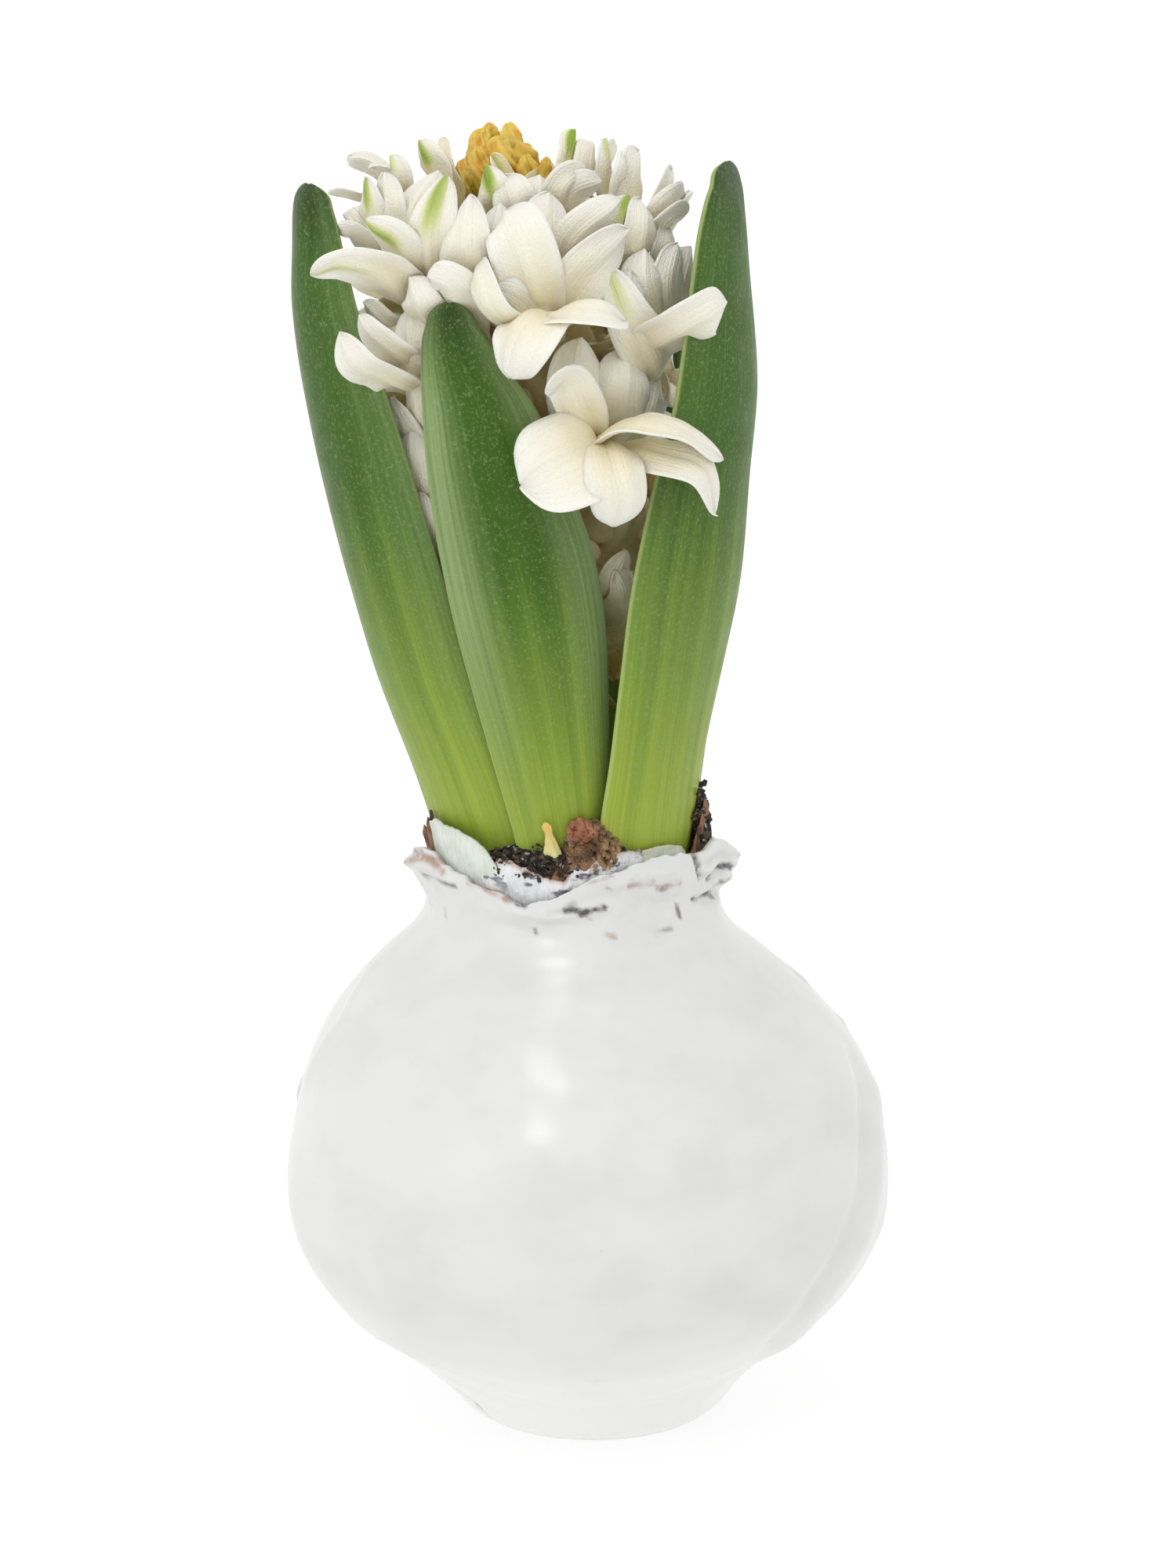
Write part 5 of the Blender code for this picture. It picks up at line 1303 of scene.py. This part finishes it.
def make_florets(material):
    rng = random.Random(SEED)
    for number in range(FLORETS):
        share = (number + 0.5) / FLORETS
        height = FLORET_LOW + (FLORET_HIGH - FLORET_LOW) * share ** 0.8
        azimuth = number * TURN % 360.0
        rise = math.radians(-12.0 + 80.0 * share ** 2.0)
        reach = read_rows(HEAD_REACH, height)[0] - FLORET_SPREAD
        opening = 1.75 * (1.0 - 0.55 * share ** 2.0)
        size = 1.0 - 0.2 * share
        if behind_front(azimuth, height):
            reach -= 1.5
            opening *= 0.45
            size *= 0.85
        outward = around(height, azimuth, 1.0) - around(height, azimuth, 0.0)
        axis = (outward * math.cos(rise) + Vector((0, 0, 1)) * math.sin(rise)).normalized()
        bm = bmesh.new()
        green = 0.8 * smoothstep((share - 0.55) / 0.3)
        floret(bm, around(height, azimuth, reach), axis, opening, size, green, rng)
        piece = add_piece(f"floret_{number:02d}", bm, material, "petal")
        if abs(turn_between(azimuth, 0.0)) < ROUNDED_TURN:
            soften(piece)


def make_head_core(material):
    """The stem's upper end, ridged by the tubes packed round it."""
    bm = column(HEAD_CORE[0][0], HEAD_CORE[-1][0], 96, 60)
    for vert in bm.verts:
        angle = math.atan2(vert.co.y, vert.co.x)
        radius = read_rows(HEAD_CORE, vert.co.z)[0]
        radius += 0.7 * math.sin(11.0 * angle + 0.35 * vert.co.z) * math.sin(0.5 * vert.co.z)
        vert.co = Vector((vert.co.x * radius + middle_x(vert.co.z), vert.co.y * radius, vert.co.z))
    add_piece("head_core", bm, material, "petal", "flower_head")


def make_head():
    material = petal_material()
    make_head_core(material)
    make_front_petals(material)
    make_florets(material)


make_head()


# The withered buds: the last buds at the tip never opened. They have shrivelled into a ruffled
# yellow and orange knob of papery ribs.
BUDS = 13


def withered_material():
    material, tree, shader = plain_material("withered_bud", (0.55, 0.35, 0.06), 0.5)
    coordinates = add_node(tree, "ShaderNodeTexCoord")
    place = coordinates.outputs["Object"]
    ribs = painted(tree, "rib")
    patches = grain(tree, place, 420.0, detail=4.0)
    height = add_node(tree, "ShaderNodeSeparateXYZ", {0: place}).outputs[2]
    colour = tint(tree, span(tree, patches, 0.38, 0.62), (0.66, 0.50, 0.07), (0.68, 0.36, 0.025))
    colour = tint(tree, span(tree, height, 0.1365, 0.1405, 0.6, 0.0), colour, (0.50, 0.50, 0.06))
    # Painted light: the rib crests are painted paler as a painted highlight, and the deep folds between them
    # dark orange-brown as painted shade.
    colour = tint(tree, span(tree, ribs, 0.5, 0.95, 0.0, 0.75), colour, (0.68, 0.47, 0.09))
    colour = tint(tree, span(tree, ribs, 0.0, 0.35, 0.7, 0.0), colour, (0.42, 0.17, 0.012))
    fine = grain(tree, place, 1100.0, stretch=(1.0, 1.0, 0.35))
    colour = tint(tree, span(tree, fine, 0.55, 0.75, 0.0, 0.45), colour, (0.45, 0.19, 0.015))
    tree.links.new(colour, shader.inputs["Base Color"])
    emboss(tree, shader, fine, 0.0003, 0.8)
    let_light_in(shader, 0.3, (1.0, 0.6, 0.15), 0.001)
    return material


def withered_bud(bm, place, axis, length, width, rib, seed):
    """A shrunken bud: five broad ribs and twelve fine ones, with deep folds, twisted a little."""
    made = bmesh.ops.create_uvsphere(bm, u_segments=50, v_segments=32, radius=1.0)
    turn = axis.to_track_quat("Z", "Y").to_matrix().to_4x4()
    for vert in made["verts"]:
        angle = math.atan2(vert.co.y, vert.co.x) + 0.8 * vert.co.z
        folds = abs(math.sin(2.5 * angle + seed + 0.8 * rough(vert.co, 0.7, seed)))
        folds = 0.6 * folds + 0.4 * abs(math.sin(6.0 * angle + 2.0 * seed + 2.0 * vert.co.z))
        inward = 1.0 - 0.45 * (1.0 - folds)
        inward += 0.38 * rough(vert.co, 0.75, seed) + 0.16 * rough(vert.co, 0.3, seed)
        vert[rib] = folds
        side = Vector((vert.co.x, vert.co.y, 0.0)) * inward * width
        bend = 0.3 * width * math.sin(seed + 1.5 * vert.co.z)
        vert.co = side + Vector((bend, 0.0, vert.co.z * length * (0.85 + 0.15 * inward)))
    bmesh.ops.transform(bm, matrix=Matrix.Translation(place) @ turn, verts=made["verts"])


def make_apex():
    rng = random.Random(SEED)
    bm = bmesh.new()
    rib = bm.verts.layers.float.new("rib")
    core = Vector((middle_x(139.0) + 0.4, 0.0, 139.2))
    withered_bud(bm, core, Vector((LEAN, 0.0, 1.0)), 5.0, 3.9, rib, 0.0)
    withered_bud(bm, Vector((-4.4, -3.5, 140.2)), Vector((0.1, 0.0, 1.0)), 1.9, 0.8, rib, 3.0)
    for number in range(BUDS):
        share = (number + 0.5) / BUDS
        azimuth = number * TURN
        height = BUD_FOOT + 2.4 + 5.6 * share ** 0.8
        outward = around(height, azimuth, 1.0) - around(height, azimuth, 0.0)
        axis = (outward * (0.15 - 0.45 * share) + Vector((0, 0, 1))).normalized()
        place = around(height, azimuth, 4.4 - 3.0 * share)
        withered_bud(bm, place, axis, rng.uniform(2.6, 3.2), rng.uniform(1.3, 1.8), rib, number * 1.3)
    add_piece("withered_buds", bm, withered_material(), "withered_bud", "apex_buds")


make_apex()


# The side shoot: a small pale yellow shoot with a rounded head, come up beside the leaves at
# the neck, where the light has not reached it.
SHOOT_AZIMUTH = -4.0
SHOOT_FOOT = 67.0
SHOOT_TOP = 71.6


def make_shoot():
    bm = bmesh.new()
    bmesh.ops.create_uvsphere(bm, u_segments=36, v_segments=40, radius=1.0)
    for vert in bm.verts:
        share = (vert.co.z + 1.0) / 2.0
        height = SHOOT_FOOT + (SHOOT_TOP - SHOOT_FOOT) * share
        body = 1.15 - 0.75 * smoothstep(share / 0.7) + 0.22 * bell((share - 0.9) / 0.10)
        ridge = 1.0 + 0.12 * math.sin(4.0 * math.atan2(vert.co.y, vert.co.x) + 3.0 * share)
        spot = around(height, SHOOT_AZIMUTH - 1.5 * share, 15.5 + 0.5 * share)
        round_off = vert.co.xy.length / max(math.sqrt(1.0 - min(vert.co.z ** 2, 0.9999)), 0.01)
        full = math.sqrt(max(1.0 - (2.0 * share - 1.0) ** 4, 0.0)) * body * ridge * round_off
        angle = math.atan2(vert.co.y, vert.co.x)
        vert.co = spot + Vector((math.cos(angle) * full, math.sin(angle) * full * 0.65, 0.0))
        vert.co += Vector((1.0, 1.0, 0.6)) * 0.12 * rough(vert.co, 0.8)
    yellow = juicy_material("pale_shoot", (0.60, 0.58, 0.27), (0.66, 0.47, 0.11), 67.5, 71.5)
    add_piece("side_shoot", bm, yellow, "shoot", "side_shoot")


make_shoot()
